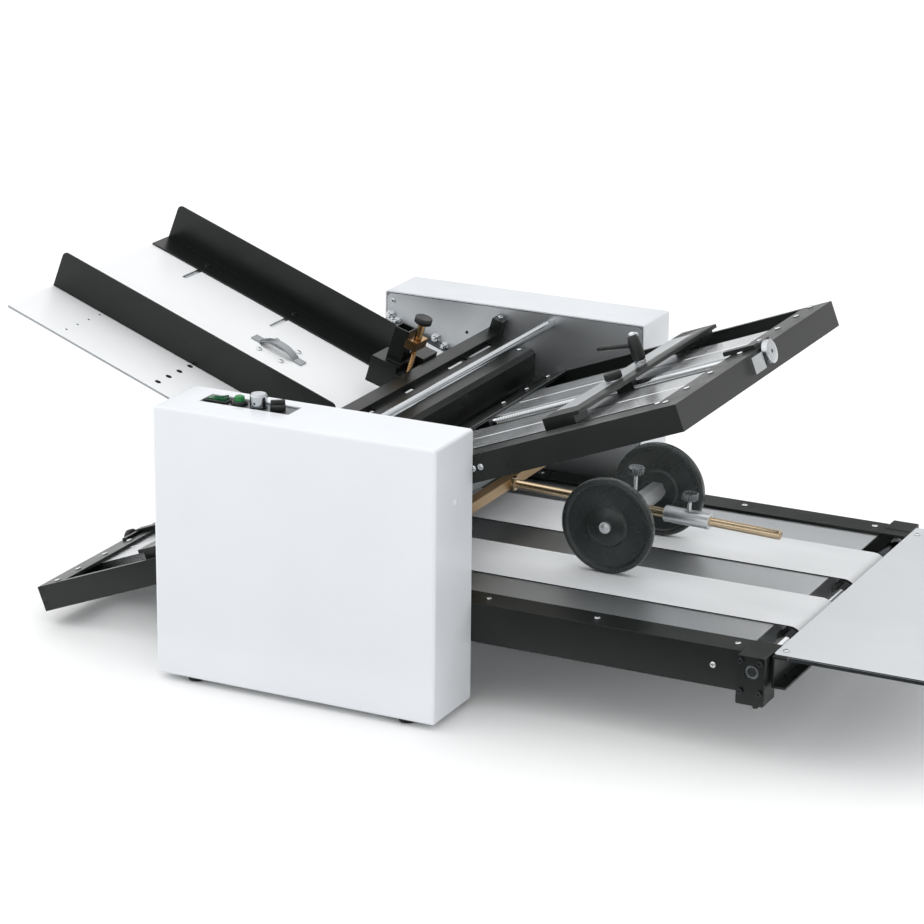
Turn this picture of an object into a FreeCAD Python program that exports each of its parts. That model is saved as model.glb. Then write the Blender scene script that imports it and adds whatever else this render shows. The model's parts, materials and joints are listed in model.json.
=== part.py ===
"""Paper folding machine: a free-standing buckle folder with two folding plates and a belt conveyor.

Two sheet-metal housings stand left and right of the paper path, joined by rods, rollers and a cross
beam.  Paper slides down the sloping feed table, is folded in the upper and the lower folding plate, and
leaves on the belt conveyor under two press wheels.

Most pieces are drawn in the machine's own axes: x along the paper path from the housings' left faces,
y from the front face to the back, z up from the underside of the housings.  seat() carries them into the
part's frame, whose origin is on the floor under the middle of the machine.
"""
import math
import os
import re

import FreeCAD, Part
import Sketcher

SIZES = (
    # housings
    ("left_face", -370, "left faces of the housings, from the origin"),
    ("foot_height", 8, "rubber feet under the housings"),
    ("housing_length", 390, "housings along the paper path"),
    ("housing_height", 350, "housings without their feet"),
    ("front_depth", 100, "front housing"),
    ("rear_depth", 88, "rear housing"),
    ("throat", 520, "between the two side plates"),
    ("cover_wall", 2, "sheet of the covers"),
    ("cover_round", 4, "bent edges of the covers"),
    ("cover_gap", 1, "between a cover's rim and its side plate"),
    ("side_plate", 6, "thickness of the side plates"),
    ("plate_round", 8, "corners of the side plates"),
    ("lug_size", 16, "square of the lugs that hold a cover on its side plate"),
    ("lug_length", 20, "those lugs along y"),
    ("screw_inset_x", 12, "cover screws from the housings' ends"),
    ("screw_inset_z", 14, "cover screws from the housings' top and underside"),
    ("sight_hole_x", 126, "small hole in the side plates"),
    ("sight_hole_z", 306, "small hole in the side plates"),
    ("sight_hole", 2.3, "small hole in the side plates"),
    ("foot_radius", 12, "rubber feet"),
    ("foot_inset_x", 46, "foot centres from the housings' ends"),
    ("foot_inset_y", 20, "foot centres from the housings' faces"),
    ("tie_radius", 6, "chromed tie rod"),
    ("tie_x", 253, "chromed tie rod"),
    ("tie_drop", 14, "chromed tie rod below the housings' top"),
    ("low_tie_radius", 8, "the two lower tie rods"),
    ("low_tie_inset", 60, "lower tie rods from the housings' ends"),
    ("low_tie_z", 42, "lower tie rods"),
    # control panel
    ("panel_left", 40, "window of the control panel"),
    ("panel_right", 166, "window of the control panel"),
    ("panel_near", 46, "window of the control panel"),
    ("panel_far", 80, "window of the control panel"),
    ("panel_lap", 5, "panel under the rim of its window"),
    ("panel_sheet", 2, "panel thickness"),
    ("control_row", 63, "centres of the switches and knobs"),
    ("rocker_x", 58, "mains rocker"),
    ("rocker_length", 24, "mains rocker"),
    ("rocker_width", 13, "mains rocker"),
    ("rocker_rise", 5, "rocker's ends over its pin"),
    ("rocker_sink", 8, "rocker's tail under its pin"),
    ("rocker_clear", 1.2, "rocker inside its frame"),
    ("rocker_pin", 1.2, "bore for the rocker's pin"),
    ("frame_rim", 3, "rim of the rocker's frame"),
    ("bezel_height", 3, "frame and bezel over the panel"),
    ("button_x", 88, "start button"),
    ("button_radius", 6.5, "start button's cap"),
    ("button_rise", 3.5, "cap over its bezel"),
    ("bezel_radius", 10.8, "start button's bezel"),
    ("speed_x", 115, "speed knob"),
    ("speed_radius", 11, "speed knob"),
    ("speed_height", 17.5, "speed knob"),
    ("selector_x", 142, "selector knob"),
    ("selector_radius", 9.6, "selector knob"),
    ("selector_height", 13, "selector knob with the grip bar on its top"),
    ("selector_disc", 8, "selector knob without that bar"),
    ("selector_bar", 5.2, "grip bar across the selector knob"),
    ("selector_turn", 35, "turn of the selector knob"),
    ("knob_shaft", 3, "radius of the shafts of both knobs"),
    ("knob_shaft_drop", 12, "those shafts below the panel"),
    # power inlet
    ("inlet_y", 44, "centre of the power inlet"),
    ("inlet_z", 52, "centre of the power inlet"),
    ("inlet_wide", 28, "inlet's body"),
    ("inlet_tall", 20, "inlet's body"),
    ("inlet_deep", 26, "inlet's body behind the wall"),
    ("inlet_rim", 4, "inlet's flange round its body"),
    # fits
    ("running_gap", 0.05, "radial clearance of a shaft in its bearing"),
    ("seat_gap", 0.01, "radial clearance of a pressed piece"),
    ("slide_gap", 0.3, "between faces that pass each other"),
    # fold rollers and drive
    ("main_x", 205, "main fold roller"),
    ("main_z", 219, "main fold roller"),
    ("nip_centres", 35, "centre distance of neighbouring fold rollers"),
    ("nip_gap", 0.4, "between neighbouring fold rollers"),
    ("nip_turn", 45, "slope of the two lower nips"),
    ("shaft_radius", 6, "shafts of the rollers"),
    ("bearing_radius", 13, "ball bearings in the side plates"),
    ("roller_inset", 10, "roller sleeves from the side plates"),
    ("shaft_past", 16, "shafts beyond the rear side plate"),
    ("gear_teeth", 20, "each of the four roller gears"),
    ("gear_width", 10, "roller gears"),
    ("gear_gap", 3, "roller gears from the front side plate"),
    ("tooth_play", 0.25, "backlash between two gears"),
    ("belt_sheet", 2, "thickness of the drive belts"),
    ("belt_width", 12, "drive belts and their pulleys"),
    ("belt_near", 14, "motor belt, from the front face"),
    ("second_belt_near", 34, "conveyor's drive belt, from the front face"),
    ("motor_pulley_radius", 12, "pulley on the motor"),
    ("main_pulley_radius", 24, "pulley on the main roller"),
    ("side_pulley_radius", 16, "two pulleys of the conveyor's drive"),
    ("motor_x", 96, "motor"),
    ("motor_z", 112, "motor"),
    ("motor_radius", 38, "motor"),
    ("motor_length", 58, "motor"),
    ("motor_shaft", 4, "radius of the motor's shaft"),
    ("motor_end", 8, "motor's two end walls"),
    ("rotor_radius", 28, "rotor inside the motor"),
    ("rotor_length", 40, "rotor inside the motor"),
    # roller guard
    ("guard_left", 186, "guard over the rollers"),
    ("guard_right", 230, "guard over the rollers"),
    ("guard_top", 296, "guard over the rollers"),
    ("guard_skirt", 256, "lower edge of its right wall"),
    ("guard_back", 272, "lower edge of its left wall"),
    ("guard_bevel", 6, "bevels along its top"),
    ("guard_sheet", 2, "its sheet"),
    # feed table and guides
    ("table_end_x", 131.9, "lower end of the feed table"),
    ("table_end_z", 264.4, "lower end of the feed table"),
    ("table_tilt", 20.7, "slope of the feed table"),
    ("table_length", 436, "feed table along its slope"),
    ("table_near", 102, "feed table's front edge"),
    ("table_far", 607, "feed table's rear edge"),
    ("table_sheet", 3, "feed table"),
    ("table_hem", 26, "turned-down sides of the table between the side plates"),
    ("hem_length", 131, "those sides along the slope"),
    ("stud_radius", 6, "studs that carry the table on the side plates"),
    ("feed_gap", 4, "feed roller from the table's end"),
    ("feed_radius", 20, "feed roller"),
    ("feed_sleeve", 160, "rubber sleeve of the feed roller"),
    ("guide_sheet", 2, "paper guides"),
    ("guide_wall", 52, "height of the paper guides"),
    ("guide_flange", 43, "foot of the paper guides"),
    ("guide_round", 7, "corners of the paper guides"),
    ("front_guide_y", 209, "outer face of the front guide"),
    ("front_guide_length", 430, "front guide"),
    ("rear_guide_y", 502, "outer face of the rear guide"),
    ("rear_guide_length", 364, "rear guide"),
    ("guide_slot_u", 80, "slots for the guides' screws, along the slope"),
    ("guide_slot_pitch", 144, "the second slot from the first"),
    ("guide_travel_out", 70, "paper guides away from the paper"),
    ("guide_travel_in", 60, "paper guides towards the paper"),
    ("slot_radius", 3.5, "slots in the feed table"),
    ("small_hole", 1.6, "row of small holes in the feed table"),
    ("large_hole", 4, "row of large holes in the feed table"),
    ("hole_pitch", 26.4, "both rows of holes"),
    ("hole_row_start", 123.4, "first hole of both rows"),
    ("small_row_u", 80, "row of small holes, along the slope"),
    ("large_row_u", 224.5, "row of large holes, along the slope"),
    # pile strap on the feed table
    ("strap_u", 267, "arched strap, along the slope"),
    ("strap_y", 364, "arched strap"),
    ("strap_span", 56, "arched strap"),
    ("strap_rise", 9, "arched strap"),
    ("strap_width", 15, "arched strap"),
    ("strap_sheet", 2, "arched strap"),
    ("strap_window", 26, "width of the oblong window under it"),
    # cross beam with the sheet separator
    ("beam_x", 165.6, "upper left edge of the cross beam"),
    ("beam_z", 321.7, "upper left edge of the cross beam"),
    ("beam_tilt", 17, "slope of the cross beam's top"),
    ("beam_width", 18, "cross beam"),
    ("beam_thick", 12, "cross beam"),
    ("apron_width", 16, "slotted strip beside the beam"),
    ("apron_sheet", 3, "slotted strip beside the beam"),
    ("apron_slot", 2.8, "radius of the slots' ends"),
    ("apron_slot_in", 3.2, "slots' middle line from the beam"),
    ("beam_block", 16, "blocks on the ends of the beam"),
    ("separator_y", 388, "separator"),
    ("tube_left", -40, "separator's square tube"),
    ("tube_size", 22, "separator's square tube"),
    ("tube_wall", 2.5, "separator's square tube"),
    ("tube_top", 46, "separator's square tube over the beam's top"),
    ("tube_bore", 60, "open depth of the tube"),
    ("base_left", -55, "separator's base"),
    ("base_low", -38, "separator's base"),
    ("base_top", -1, "separator's base"),
    ("base_wide", 44, "separator's base across the paper"),
    ("cheek_left", -31, "raised cheek behind the base"),
    ("cheek_top", 5, "raised cheek behind the base"),
    ("cheek_wide", 41, "raised cheek across the paper"),
    ("tongue_sheet", 5, "tongue of the base under the beam"),
    ("block_long", 30, "brass block across the paper"),
    ("block_width", 17, "brass block"),
    ("block_low", 26, "brass block's underside"),
    ("block_tall", 12, "brass block"),
    ("screw_radius", 3.4, "separator's brass screw"),
    ("screw_u", -8.5, "separator's brass screw"),
    ("collar_radius", 5, "collar of the brass screw"),
    ("knurl_radius", 11.7, "knob of the brass screw"),
    ("knurl_height", 9, "knob of the brass screw"),
    ("knurl_low", 61, "underside of that knob"),
    # folding plates
    ("upper_end_x", 651.6, "upper plate's far end"),
    ("upper_end_z", 418.4, "upper plate's far end"),
    ("upper_tilt", 21.2, "slope of the upper plate"),
    ("upper_reach", 436, "upper plate along its slope"),
    ("lower_end_x", -242.5, "lower plate's far end"),
    ("lower_end_z", 39.7, "lower plate's far end"),
    ("lower_tilt", 21.3, "slope of the lower plate"),
    ("lower_reach", 452, "lower plate along its slope"),
    ("bar_height", 34, "side bars and end plate"),
    ("bar_thick", 8, "side bars and end plate"),
    ("slat_width", 138, "slats of the grids"),
    ("slat_thick", 9, "slats of the grids"),
    ("slat_groove", 1.2, "depth of the groove along each slat"),
    ("groove_half", 2, "half the width of that groove"),
    ("first_slat", 78, "first slat from the front side plate"),
    ("spindle_slit", 74, "gap between the two slats"),
    ("spindle_side", 12, "spindle from the far edge of that gap"),
    ("strip_sheet", 4, "cross strips that carry the slats"),
    ("end_strip", 34, "cross strip at the far end"),
    ("mouth_strip", 36, "cross strip at the mouth"),
    ("roller_room", 8, "lower mouth strip, drawn back from the fold rollers"),
    ("paper_slot", 4, "between the upper and the lower grid"),
    ("stop_far", 158, "stop plate's far edge, from the plate's far end"),
    ("stop_wide", 51, "stop plate along the slope"),
    ("stop_near_y", 62, "stop plate from the front side plate"),
    ("stop_length", 438, "stop plate across the paper"),
    ("stop_sheet", 5, "stop plate"),
    ("stop_top", 12, "top of the stop plate over the side bars"),
    ("stop_block", 38, "blocks under the ends of the stop plate"),
    ("lip_sheet", 4, "stop lip in the paper slot"),
    ("web_thick", 14, "web that carries the lip on the spindle"),
    ("nut_tab", 25, "tab that carries the thumb nut beside the stop plate"),
    ("nut_tab_top", 2.5, "top of that tab over the side bars"),
    ("nut_spread", 11.5, "radius of the thumb nut"),
    ("nut_tall", 10, "thumb nut"),
    ("nut_aside", 14, "thumb nut from the spindle, across the paper"),
    ("spindle_radius", 4, "adjusting spindle"),
    ("spindle_drop", 8.4, "adjusting spindle below the bars' top"),
    ("dial_radius", 15.5, "adjusting knob"),
    ("dial_thick", 8, "adjusting knob"),
    ("dial_off", 2.5, "adjusting knob from the end plate"),
    ("dial_block", 34, "clamp block beside the adjusting knob"),
    ("dial_block_tall", 21, "clamp block beside the adjusting knob"),
    ("dial_block_thick", 6, "clamp block beside the adjusting knob"),
    ("cover_reach", 44, "cover over the spindle's end, along the slope"),
    ("cover_arm", 42, "arm of that cover across the paper"),
    ("lever_post", 8, "radius of the clamp lever's post"),
    ("lever_height", 39, "clamp lever's post"),
    ("lever_arm", 54, "clamp lever's arm from its post"),
    ("lever_u", 186, "clamp lever from the plate's far end"),
    ("lever_y", 314, "clamp lever from the front side plate"),
    # conveyor
    ("rail_top", 127.8, "top of the conveyor's rails"),
    ("rail_height", 51.3, "rails"),
    ("rail_flange", 40, "rails' upper flange"),
    ("rail_foot", 25, "rails' lower flange"),
    ("rail_sheet", 4, "rails"),
    ("rail_start", 230, "rails' hidden end"),
    ("rail_end", 745.5, "where the end blocks begin"),
    ("bed_sheet", 2, "conveyor's bed"),
    ("bed_end", 744, "conveyor's bed"),
    ("conveyor_axis", 108.5, "height of the conveyor's rollers"),
    ("end_roller_x", 764.3, "conveyor's end roller"),
    ("conveyor_radius", 15.2, "conveyor's rollers"),
    ("core_radius", 9, "end roller between its drums"),
    ("drum_past", 4, "drums of the end roller beyond the belts' edges"),
    ("band_gap", 0.3, "between the belts and the rollers"),
    ("band_thick", 1.5, "conveyor's belts"),
    ("band_width", 112, "conveyor's belts"),
    ("band_offset", 94, "conveyor's belts from the middle"),
    ("end_block_length", 35.5, "end blocks"),
    ("end_block_out", 15.2, "end blocks beyond the rails"),
    ("end_block_in", 20, "end blocks inside the rails' faces"),
    ("end_block_tall", 61, "end blocks"),
    ("block_bearing", 9, "bearings in the end blocks"),
    ("bearing_recess", 2, "those bearings below the block's face"),
    ("cross_start", 784, "cross channel under the extension"),
    ("cross_width", 18, "cross channel"),
    ("cross_drop", 40, "cross channel"),
    ("extension_length", 230, "extension plate"),
    ("extension_sheet", 2, "extension plate"),
    ("extension_inset", 4, "extension plate from the rails' outer faces"),
    # press wheels
    ("carrier_x", 312, "square bar that carries the press wheels"),
    ("carrier_side", 14, "square bar"),
    ("carrier_pivot", 5, "radius of its pivots"),
    ("press_slope", 1.8, "slope of the wheel rod"),
    ("press_y", 364, "wheel rod"),
    ("rod_radius", 6, "wheel rod"),
    ("rod_length", 372, "wheel rod past the square bar"),
    ("nut_radius", 10, "nut at the foot of the wheel rod"),
    ("nut_thick", 6, "nut at the foot of the wheel rod"),
    ("wheel_reach", 179, "wheel axle along the rod"),
    ("wheel_radius", 62, "press wheels"),
    ("wheel_thick", 14, "press wheels"),
    ("wheel_track", 164, "between the wheels' middle planes"),
    ("wheel_hub", 26, "raised hubs of the wheels"),
    ("wheel_rim", 8, "width of their rims"),
    ("wheel_web", 3, "webs below the rims"),
    ("wheel_gap", 0.3, "wheels over the belts"),
    ("axle_radius", 5, "wheel axle"),
    ("cap_radius", 7.5, "caps on the axle"),
    ("cap_thick", 4, "caps on the axle"),
    ("hex_flats", 22, "hexagonal hub across its flats"),
    ("hex_gap", 1, "hub from the wheels"),
    ("sleeve_reach", 222, "sleeve's near end along the rod"),
    ("sleeve_length", 62, "sleeve on the rod"),
    ("sleeve_radius", 10.5, "sleeve on the rod"),
    ("thumb_radius", 11, "heads of the thumb screws"),
    ("thumb_height", 9, "heads of the thumb screws"),
    ("thumb_stem", 2.75, "stems of the thumb screws"),
    ("hub_screw_rise", 54, "top of the hub's thumb screw over the rod"),
    ("sleeve_screw_rise", 33, "top of the sleeve's thumb screw over the rod"),
    ("sleeve_screw_in", 32, "sleeve's thumb screw from the sleeve's near end"),
    # fasteners
    ("pan_radius", 4, "pan heads"),
    ("pan_height", 2.4, "pan heads"),
    ("socket_radius", 3.5, "socket heads"),
    ("socket_height", 4, "socket heads"),
    ("socket_hex", 1.5, "radius of their sockets"),
)
NAMES = {alias for alias, _, _ in SIZES}
PLANES = {"XY": "XY_Plane", "XZ": "XZ_Plane", "YZ": "YZ_Plane"}

# places that several pieces share
FRONT_FACE = "(-(front_depth + throat + rear_depth) / 2)"
FRONT_IN = "front_depth"
REAR_IN = "(front_depth + throat)"
MIDDLE = "(front_depth + throat / 2)"
DEPTH = "(front_depth + throat + rear_depth)"
PANEL_TOP = "(housing_height - cover_wall)"
SLEEVE = "(nip_centres / 2 - nip_gap / 2)"
INFEED = ("main_x", "(main_z + nip_centres)")
MAIN = ("main_x", "main_z")
FOLD = ("(main_x + nip_centres * cos(nip_turn))", "(main_z - nip_centres * sin(nip_turn))")
DELIVERY = ("main_x", "(main_z - 2 * nip_centres * sin(nip_turn))")
FEED_ON = "(feed_radius + feed_gap)"
FEED = (
    f"(table_end_x + {FEED_ON} * cos(table_tilt) - feed_radius * sin(table_tilt))",
    f"(table_end_z - {FEED_ON} * sin(table_tilt) - feed_radius * cos(table_tilt))",
)
DRIVE = ("main_x", "conveyor_axis")
END = ("end_roller_x", "conveyor_axis")
BAND_IN = "(conveyor_radius + band_gap)"
BAND_TOP = "(conveyor_axis + conveyor_radius + band_gap + band_thick)"
AXLE_Z = f"({BAND_TOP} + wheel_gap + wheel_radius)"
CARRIER_Z = f"({AXLE_Z} + wheel_reach * sin(press_slope))"
GEAR_Y = "(front_depth - side_plate - gear_gap - gear_width)"
GRID_LOW = "(strip_sheet + slat_thick + paper_slot)"
REAR_GUIDE_SCREW = "(rear_guide_y - guide_sheet - guide_flange / 2)"
FRONT_GUIDE_SCREW = "(hole_row_start + 4 * hole_pitch)"

doc = FreeCAD.newDocument("paper_folding_machine")
sheet = doc.addObject("Spreadsheet::Sheet", "Sizes")
nodes = []


# ---------------------------------------------------------------- sizes and expressions
def fill_sheet():
    """Write the driving dimensions into the sheet, one row each."""
    for row, (alias, value, note) in enumerate(SIZES, start=1):
        sheet.set(f"A{row}", note)
        sheet.set(f"B{row}", str(value))
        sheet.setAlias(f"B{row}", alias)
    doc.recompute()


def link(text):
    """The expression with each size pointed at the sheet."""
    return re.sub(r"[a-z][a-z_0-9]*", lambda word: point(word.group(0)), text)


def point(word):
    return "Sizes." + word if word in NAMES else word


def num(text):
    """What an expression of sizes comes to."""
    value = sheet.evalExpression(link(str(text)))
    return float(getattr(value, "Value", value))


def vec(x, y, z):
    return FreeCAD.Vector(num(x), num(y), num(z))


# ---------------------------------------------------------------- placing
def seat(piece, x="0", y="0", z="0", tilt="0", turn="0"):
    """Carry a piece from its own axes into the part's frame.

    tilt turns it about y, so that a positive angle lowers its far end; turn comes first, about z.
    """
    spot = f"vector(left_face + {x}; {FRONT_FACE} + {y}; foot_height + {z})"
    spin_text = f"rotation(vector(0; 1; 0); {tilt}) * rotation(vector(0; 0; 1); {turn})"
    piece.setExpression("Placement", link(f"placement({spot}; {spin_text})"))


def seated(x="0", y="0", z="0", tilt="0", turn="0"):
    """The same placement as a value, for a piece whose shape is set in code."""
    base = vec(f"left_face + {x}", f"{FRONT_FACE} + {y}", f"foot_height + {z}")
    tilted = FreeCAD.Rotation(FreeCAD.Vector(0, 1, 0), num(tilt))
    return FreeCAD.Placement(base, tilted * FreeCAD.Rotation(FreeCAD.Vector(0, 0, 1), num(turn)))


UPPER = dict(x="upper_end_x", y="0", z="upper_end_z", tilt="-upper_tilt")
LOWER = dict(x="lower_end_x", y=f"2 * {MIDDLE}", z="lower_end_z", tilt="-lower_tilt", turn="180")
TABLE = dict(x="table_end_x - table_length * cos(table_tilt)",
             z="table_end_z + table_length * sin(table_tilt)", tilt="table_tilt")
BEAM = dict(x="beam_x", z="beam_z", tilt="beam_tilt")
PRESS = dict(x="carrier_x", y="press_y", z=CARRIER_Z, tilt="press_slope")


# ---------------------------------------------------------------- sketches
def tie(sketch, geo, place, x, y):
    """Hold one point of a sketch at two expressions of sizes."""
    for kind, text in (("DistanceX", x), ("DistanceY", y)):
        index = sketch.addConstraint(Sketcher.Constraint(kind, -1, 1, geo, place, num(text)))
        sketch.setExpression(f"Constraints[{index}]", link(text))


def measure(sketch, kind, geo, text):
    index = sketch.addConstraint(Sketcher.Constraint(kind, geo, num(text)))
    sketch.setExpression(f"Constraints[{index}]", link(text))


def corners(sketch, spots):
    """A closed outline of straight edges through the given corners."""
    first = sketch.GeometryCount
    count = len(spots)
    ends = [vec(x, y, "0") for x, y in spots]
    sketch.addGeometry([Part.LineSegment(ends[i], ends[(i + 1) % count]) for i in range(count)])
    for i, (x, y) in enumerate(spots):
        following = first + (i + 1) % count
        sketch.addConstraint(Sketcher.Constraint("Coincident", first + i, 2, following, 1))
        tie(sketch, first + i, 1, x, y)


def block(sketch, x0, y0, x1, y1):
    corners(sketch, [(x0, y0), (x1, y0), (x1, y1), (x0, y1)])


def disc(sketch, x, y, radius):
    circle = Part.Circle(vec(x, y, "0"), FreeCAD.Vector(0, 0, 1), num(radius))
    geo = sketch.addGeometry(circle)
    tie(sketch, geo, 3, x, y)
    measure(sketch, "Radius", geo, radius)


def oblong(sketch, x0, y0, x1, y1, radius):
    """A slot outline: two half circles joined by tangent lines."""
    start = vec(x0, y0, "0")
    end = vec(x1, y1, "0")
    size = num(radius)
    aim = math.atan2(end.y - start.y, end.x - start.x)
    side = FreeCAD.Vector(-math.sin(aim), math.cos(aim), 0) * size
    up = FreeCAD.Vector(0, 0, 1)
    quarter = math.pi / 2
    near, far, top, low = sketch.addGeometry([
        Part.ArcOfCircle(Part.Circle(start, up, size), aim + quarter, aim + 3 * quarter),
        Part.ArcOfCircle(Part.Circle(end, up, size), aim - quarter, aim + quarter),
        Part.LineSegment(end + side, start + side),
        Part.LineSegment(start - side, end - side),
    ])
    for a, a_end, b, b_end in ((near, 1, top, 2), (near, 2, low, 1), (far, 1, low, 2), (far, 2, top, 1)):
        sketch.addConstraint(Sketcher.Constraint("Tangent", a, a_end, b, b_end))
    tie(sketch, near, 3, x0, y0)
    tie(sketch, far, 3, x1, y1)
    measure(sketch, "Radius", near, radius)
    sketch.addConstraint(Sketcher.Constraint("Equal", near, far))


def sketch_on(body, plane, start="0"):
    """An empty sketch on one of the body's origin planes, lifted along that plane's world axis."""
    sketch = body.newObject("Sketcher::SketchObject", f"{body.Name}_outline")
    support = [item for item in body.Origin.OriginFeatures if item.Role == PLANES[plane]][0]
    sketch.AttachmentSupport = (support, [""])
    sketch.MapMode = "FlatFace"
    sign = "-" if plane == "XZ" else ""
    sketch.setExpression("AttachmentOffset.Base.z", link(f"{sign}({start})"))
    return sketch


# ---------------------------------------------------------------- features
def new_body(label):
    body = doc.addObject("PartDesign::Body", label)
    body.Label = label
    return body


def extrude(body, plane, start, length, draw):
    """Add an outline's prism, from start along the plane's world axis."""
    sketch = sketch_on(body, plane, start)
    draw(sketch)
    pad = body.newObject("PartDesign::Pad", f"{body.Name}_pad")
    pad.Profile = (sketch, [""])
    pad.setExpression("Length", link(length))
    pad.Reversed = plane == "XZ"
    return pad


def carve(body, plane, start, length, draw):
    """Cut an outline's prism away, from start along the plane's world axis."""
    sketch = sketch_on(body, plane, start)
    draw(sketch)
    pocket = body.newObject("PartDesign::Pocket", f"{body.Name}_pocket")
    pocket.Profile = (sketch, [""])
    pocket.setExpression("Length", link(length))
    pocket.Reversed = plane != "XZ"
    return pocket


def turn_up(body, plane, axis, draw, start="0"):
    """Add the solid that an outline sweeps in a full turn about an axis of its sketch."""
    sketch = sketch_on(body, plane, start)
    draw(sketch)
    solid = body.newObject("PartDesign::Revolution", f"{body.Name}_turned")
    solid.Profile = (sketch, [""])
    solid.ReferenceAxis = (sketch, [axis])
    solid.Angle = 360
    return solid


def round_edges(body, radius, choose, kind="Fillet"):
    """Fillet or chamfer the edges of the body that choose() picks."""
    doc.recompute()
    base = body.Tip
    picked = [f"Edge{i}" for i, edge in enumerate(base.Shape.Edges, 1) if choose(edge)]
    feature = body.newObject(f"PartDesign::{kind}", f"{body.Name}_edges")
    feature.Base = (base, picked)
    feature.setExpression("Radius" if kind == "Fillet" else "Size", link(radius))
    return feature


def along(edge, axis):
    """True for a straight edge that runs along x (0), y (1) or z (2)."""
    if edge.Curve.TypeId != "Part::GeomLine":
        return False
    return abs(abs(edge.Curve.Direction[axis]) - 1) < 1e-6


def ring_pattern(body, features, axis_role, count):
    """Repeat features evenly about one of the body's origin axes."""
    pattern = body.newObject("PartDesign::PolarPattern", f"{body.Name}_ring")
    pattern.Originals = features
    axis = [item for item in body.Origin.OriginFeatures if item.Role == axis_role][0]
    pattern.Axis = (axis, [""])
    pattern.Angle = 360
    pattern.Occurrences = count
    body.Tip = pattern
    return pattern


# ---------------------------------------------------------------- nodes
def publish(piece):
    """Make a piece one of the part's nodes."""
    nodes.append(piece)
    return piece


def gather(label, pieces):
    """One node of several separate solids, each placed by itself."""
    node = doc.addObject("Part::Compound", label)
    node.Label = label
    node.Links = pieces
    return publish(node)


def solids(label, shape, placement):
    """A piece whose shape Part's own functions make."""
    piece = doc.addObject("Part::Feature", label)
    piece.Label = label
    piece.Shape = shape
    piece.Placement = placement
    return piece


def copies(label, body, places):
    """The same solid at several places of the part's frame, as one object."""
    doc.recompute()
    made = [moved(body, place) for place in places]
    return solids(label, Part.makeCompound(made), FreeCAD.Placement())


def moved(body, place):
    """A copy of a body's solid, carried to a place."""
    one = body.Shape.copy()
    one.Placement = place.multiply(one.Placement)
    return one


# ---------------------------------------------------------------- housings
def cover(label, near, depth, open_at_far_end):
    """A five-sided sheet-metal cover with four lugs that its side plate is screwed to."""
    body = new_body(label)
    extrude(body, "XZ", near, depth, lambda s: block(s, "0", "0", "housing_length", "housing_height"))
    closed_y = num(near) if open_at_far_end else num(near) + num(depth)
    round_edges(body, "cover_round", lambda e: along(e, 1) or at_y(e, closed_y))
    hollow = f"{near} + cover_wall" if open_at_far_end else f"{near} - 1"
    length = f"{depth} - cover_wall + 1" if open_at_far_end else f"{depth} - cover_wall + 1"
    carve(body, "XZ", hollow, length, lambda s: block(
        s, "cover_wall", "cover_wall", "housing_length - cover_wall", "housing_height - cover_wall"))
    lug_y = f"{near} + {depth} - side_plate - lug_length" if open_at_far_end else f"{near} + side_plate"
    for x in ("cover_wall", "housing_length - cover_wall - lug_size"):
        for z in ("cover_wall", "housing_height - cover_wall - lug_size"):
            extrude(body, "XZ", lug_y, "lug_length", lambda s, x=x, z=z: block(
                s, x, z, f"{x} + lug_size", f"{z} + lug_size"))
    seat(body)
    return body


def at_y(edge, y):
    return all(abs(v.Point.y - y) < 1e-6 for v in edge.Vertexes)


def front_cover():
    """Front cover, with the panel's window in its top and the inlet's in its left wall."""
    body = cover("front_cover", "0", "front_depth", True)
    carve(body, "XY", "housing_height - cover_wall - 1", "cover_wall + 2", lambda s: block(
        s, "panel_left", "panel_near", "panel_right", "panel_far"))
    carve(body, "YZ", "-1", "cover_wall + 2", lambda s: block(
        s, "inlet_y - inlet_wide / 2", "inlet_z - inlet_tall / 2",
        "inlet_y + inlet_wide / 2", "inlet_z + inlet_tall / 2"))
    publish(body)


def rear_cover():
    publish(cover("rear_cover", REAR_IN, "rear_depth", False))


def side_plates():
    """Two bright steel plates, flush with the covers' rims, that carry every shaft."""
    body = new_body("side_plate_pattern")
    margin = "(cover_wall + cover_gap)"
    extrude(body, "XZ", "0", "side_plate", lambda s: block(
        s, margin, margin, f"housing_length - {margin}", f"housing_height - {margin}"))
    round_edges(body, "plate_round", lambda e: along(e, 1))

    def bores(sketch):
        for x, z in (INFEED, MAIN, FOLD, DELIVERY, FEED, DRIVE):
            disc(sketch, x, z, "bearing_radius + seat_gap")
        disc(sketch, "carrier_x", CARRIER_Z, "carrier_pivot + running_gap")
        disc(sketch, "sight_hole_x", "sight_hole_z", "sight_hole")

    carve(body, "XZ", "-1", "side_plate + 2", bores)
    places = [seated(y="front_depth - side_plate"), seated(y=REAR_IN)]
    publish(copies("side_plates", body, places))


def rubber_feet():
    """Eight rubber feet, four under each housing."""
    body = new_body("foot_pattern")
    turn_up(body, "XZ", "V_Axis", lambda s: corners(s, [
        ("0", "-foot_height"), ("foot_radius - 2", "-foot_height"), ("foot_radius", "0"), ("0", "0")]))
    rows = ("foot_inset_y", "front_depth - foot_inset_y", f"{REAR_IN} + foot_inset_y",
            f"{DEPTH} - foot_inset_y")
    columns = ("foot_inset_x", "housing_length - foot_inset_x")
    publish(copies("rubber_feet", body, [seated(x, y) for y in rows for x in columns]))


def tie_rods():
    """The chromed rod over the rollers and two rods near the floor of the machine."""
    rods = []
    for label, radius, x, z in (
        ("upper_tie", "tie_radius", "tie_x", "housing_height - tie_drop"),
        ("left_tie", "low_tie_radius", "low_tie_inset", "low_tie_z"),
        ("right_tie", "low_tie_radius", "housing_length - low_tie_inset", "low_tie_z"),
    ):
        rod = new_body(label)
        extrude(rod, "XZ", "0", "throat", lambda s, radius=radius: disc(s, "0", "0", radius))
        seat(rod, x, FRONT_IN, z)
        rods.append(rod)
    gather("tie_rods", rods)


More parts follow.
